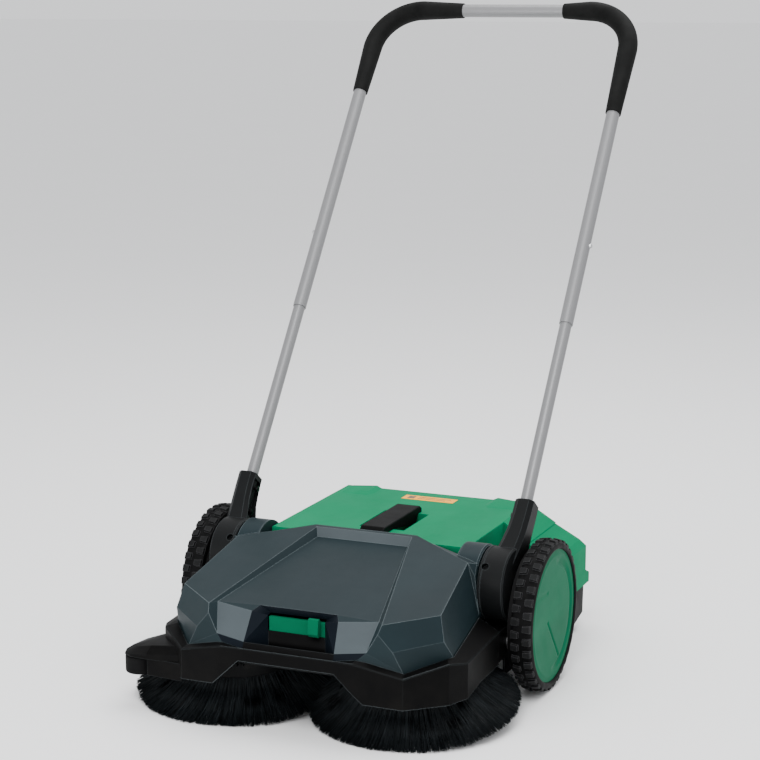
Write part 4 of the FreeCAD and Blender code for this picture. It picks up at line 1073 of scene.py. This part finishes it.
def make_lid():
    """Raised lid of the container: its edge steps down to the sides, and its rear has two ears."""
    shell_low, shell_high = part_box("container_shell")
    front = (shell_low.y - AXLE.y) / MM
    top = shell_high.z / MM + 1.6
    foot = top - 31
    # Height, half width and rear edge of the lid's foot, of its shoulder and of its flat top.
    levels = [(foot, 204.7, 261.2), (top - 1.2, 163.2, 251.2), (top, 161.6, 250)]
    body = loft([[at(x, y, z) for x, y in rectangle(-half, half, front + 0.8, back)]
                 for z, half, back in levels])
    # The lid is wide only behind its neck, and it has an opening for the carry handle.
    neck = 162.8
    neck_end = 124.2
    beyond = 20
    cuts = [rectangle(side * neck, side * 260, front - beyond, neck_end) for side in SIDES.values()]
    cuts.append(rectangle(-37.6, 37.6, 12.4, 117.6))
    tools = [("DIFFERENCE", prism(plan, foot - beyond, top + beyond)) for plan in cuts]
    lid = new_piece("container_lid", combined(body, tools), "container", GREEN)
    bevelled(lid, 1.4, 3, 12)
    for side_name, side in SIDES.items():
        ear = loft([
            [at(side * 97, y, top - 1), at(side * 108, y, top + rise),
             at(side * 152, y, top + rise * 0.15), at(side * 152, y, top - 1)]
            for y, rise in ((198, 0.2), (214, 3.2), (249, 4.2))
        ])
        bevelled(new_piece("lid_ear_" + side_name, ear, "container", GREEN), 0.8)
    return top


# ------------------------------------------------------------------ small parts

def make_label(top):
    """Blank caution plate on the container lid: a film with a dark block and two plain bars."""
    sunk = 0.2
    for name, outline, lift, finish in (
        ("label_film", (-44, 47, 199, 224), 0.35, FILM),
        ("label_bar_1", (-36, -24, 204, 219), 0.55, INK),
        ("label_bar_2", (-18, 38, 214.5, 217), 0.55, INK),
        ("label_bar_3", (-18, 30, 206, 208.5), 0.55, INK),
    ):
        plate = prism(rectangle(*outline), top - sunk, top + lift)
        bevelled(new_piece(name, plate, "container", finish), 0.15, 1)


# ------------------------------------------------------------------ stage, lights, camera

def make_stage():
    """Wide pale floor."""
    reach = 60.0
    mesh = bpy.data.meshes.new("floor")
    corners = [(x, y, 0) for x, y in rectangle(-reach, reach, -reach, reach)]
    mesh.from_pydata(corners, [], [(0, 1, 2, 3)])
    floor = placed("floor", mesh)
    nodes = Nodes("studio_floor", (0.93, 0.93, 0.93), 0.8)
    nodes.colour(nodes.mix(nodes.noise(2, 3), (0.92, 0.92, 0.92), (0.94, 0.94, 0.94)))
    mesh.materials.append(nodes.material)


def area_light(name, place, target, size, power):
    """Rectangular lamp that faces its target."""
    data = bpy.data.lights.new(name, "AREA")
    data.shape = "RECTANGLE"
    data.size, data.size_y = size
    data.energy = power
    lamp = placed(name, data)
    lamp.location = place
    lamp.rotation_euler = (Vector(target) - Vector(place)).to_track_quat("-Z", "Y").to_euler()


def make_lights():
    """Pale sky and three soft lamps: in front, above the front, and overhead."""
    world = bpy.data.worlds.new("studio")
    world.use_nodes = True
    sky = world.node_tree.nodes["Background"]
    sky.inputs["Color"].default_value = (0.97, 0.98, 1.0, 1)
    sky.inputs["Strength"].default_value = 1.15
    bpy.context.scene.world = world
    middle = (0, 0, 0.25)
    area_light("front", (-0.5, -3.3, 0.9), middle, (2.2, 0.9), 45)
    area_light("key", (0.5, -1.8, 2.6), middle, (1.4, 1.2), 50)
    area_light("top", (0.3, 0.8, 3.0), middle, (2.6, 2.6), 80)


def make_camera():
    """Camera in front of the right-hand corner, a little above the top bar."""
    data = bpy.data.cameras.new("camera")
    data.sensor_width = 36.0
    data.lens = 96.19
    camera = placed("camera", data)
    yaw = 0.402453
    pitch = 0.190278
    roll = -0.00091
    camera.location = (1.19966, -2.93442, 1.04575)
    turn = Matrix.Rotation(yaw, 3, "Z") @ Matrix.Rotation(math.pi / 2 - pitch, 3, "X")
    camera.rotation_euler = (turn @ Matrix.Rotation(roll, 3, "Z")).to_euler()
    bpy.context.scene.camera = camera


# ------------------------------------------------------------------ build

make_camera()
make_lights()
make_stage()
finish_cad_nodes()
make_hood()
make_skirt()
make_chassis_frame()
for side_name in SIDES:
    make_tyre(side_name)
    make_cap(side_name)
    make_bracket(side_name)
    refined("grip_" + side_name, 2.0, 3, 40)
    refined("snap_button_" + side_name, 0.6, 2)
make_disc_bristles("left", 11)
make_disc_bristles("right", 12)
make_roller_bristles()
refined("container_shell", 1.8, 3, 7)
refined("container_pan", 1.2, 2, 12)
refined("carry_handle", 2.0, 3, 12)
slider = refined("height_slider", 0.5, 2)
# The slider takes the darker green, as painted shade.
slider.data.materials[0] = PAINTED_SHADE_GREEN
make_guide_cover()
refined("guide_roller", 1.2, 3)
make_label(make_lid())
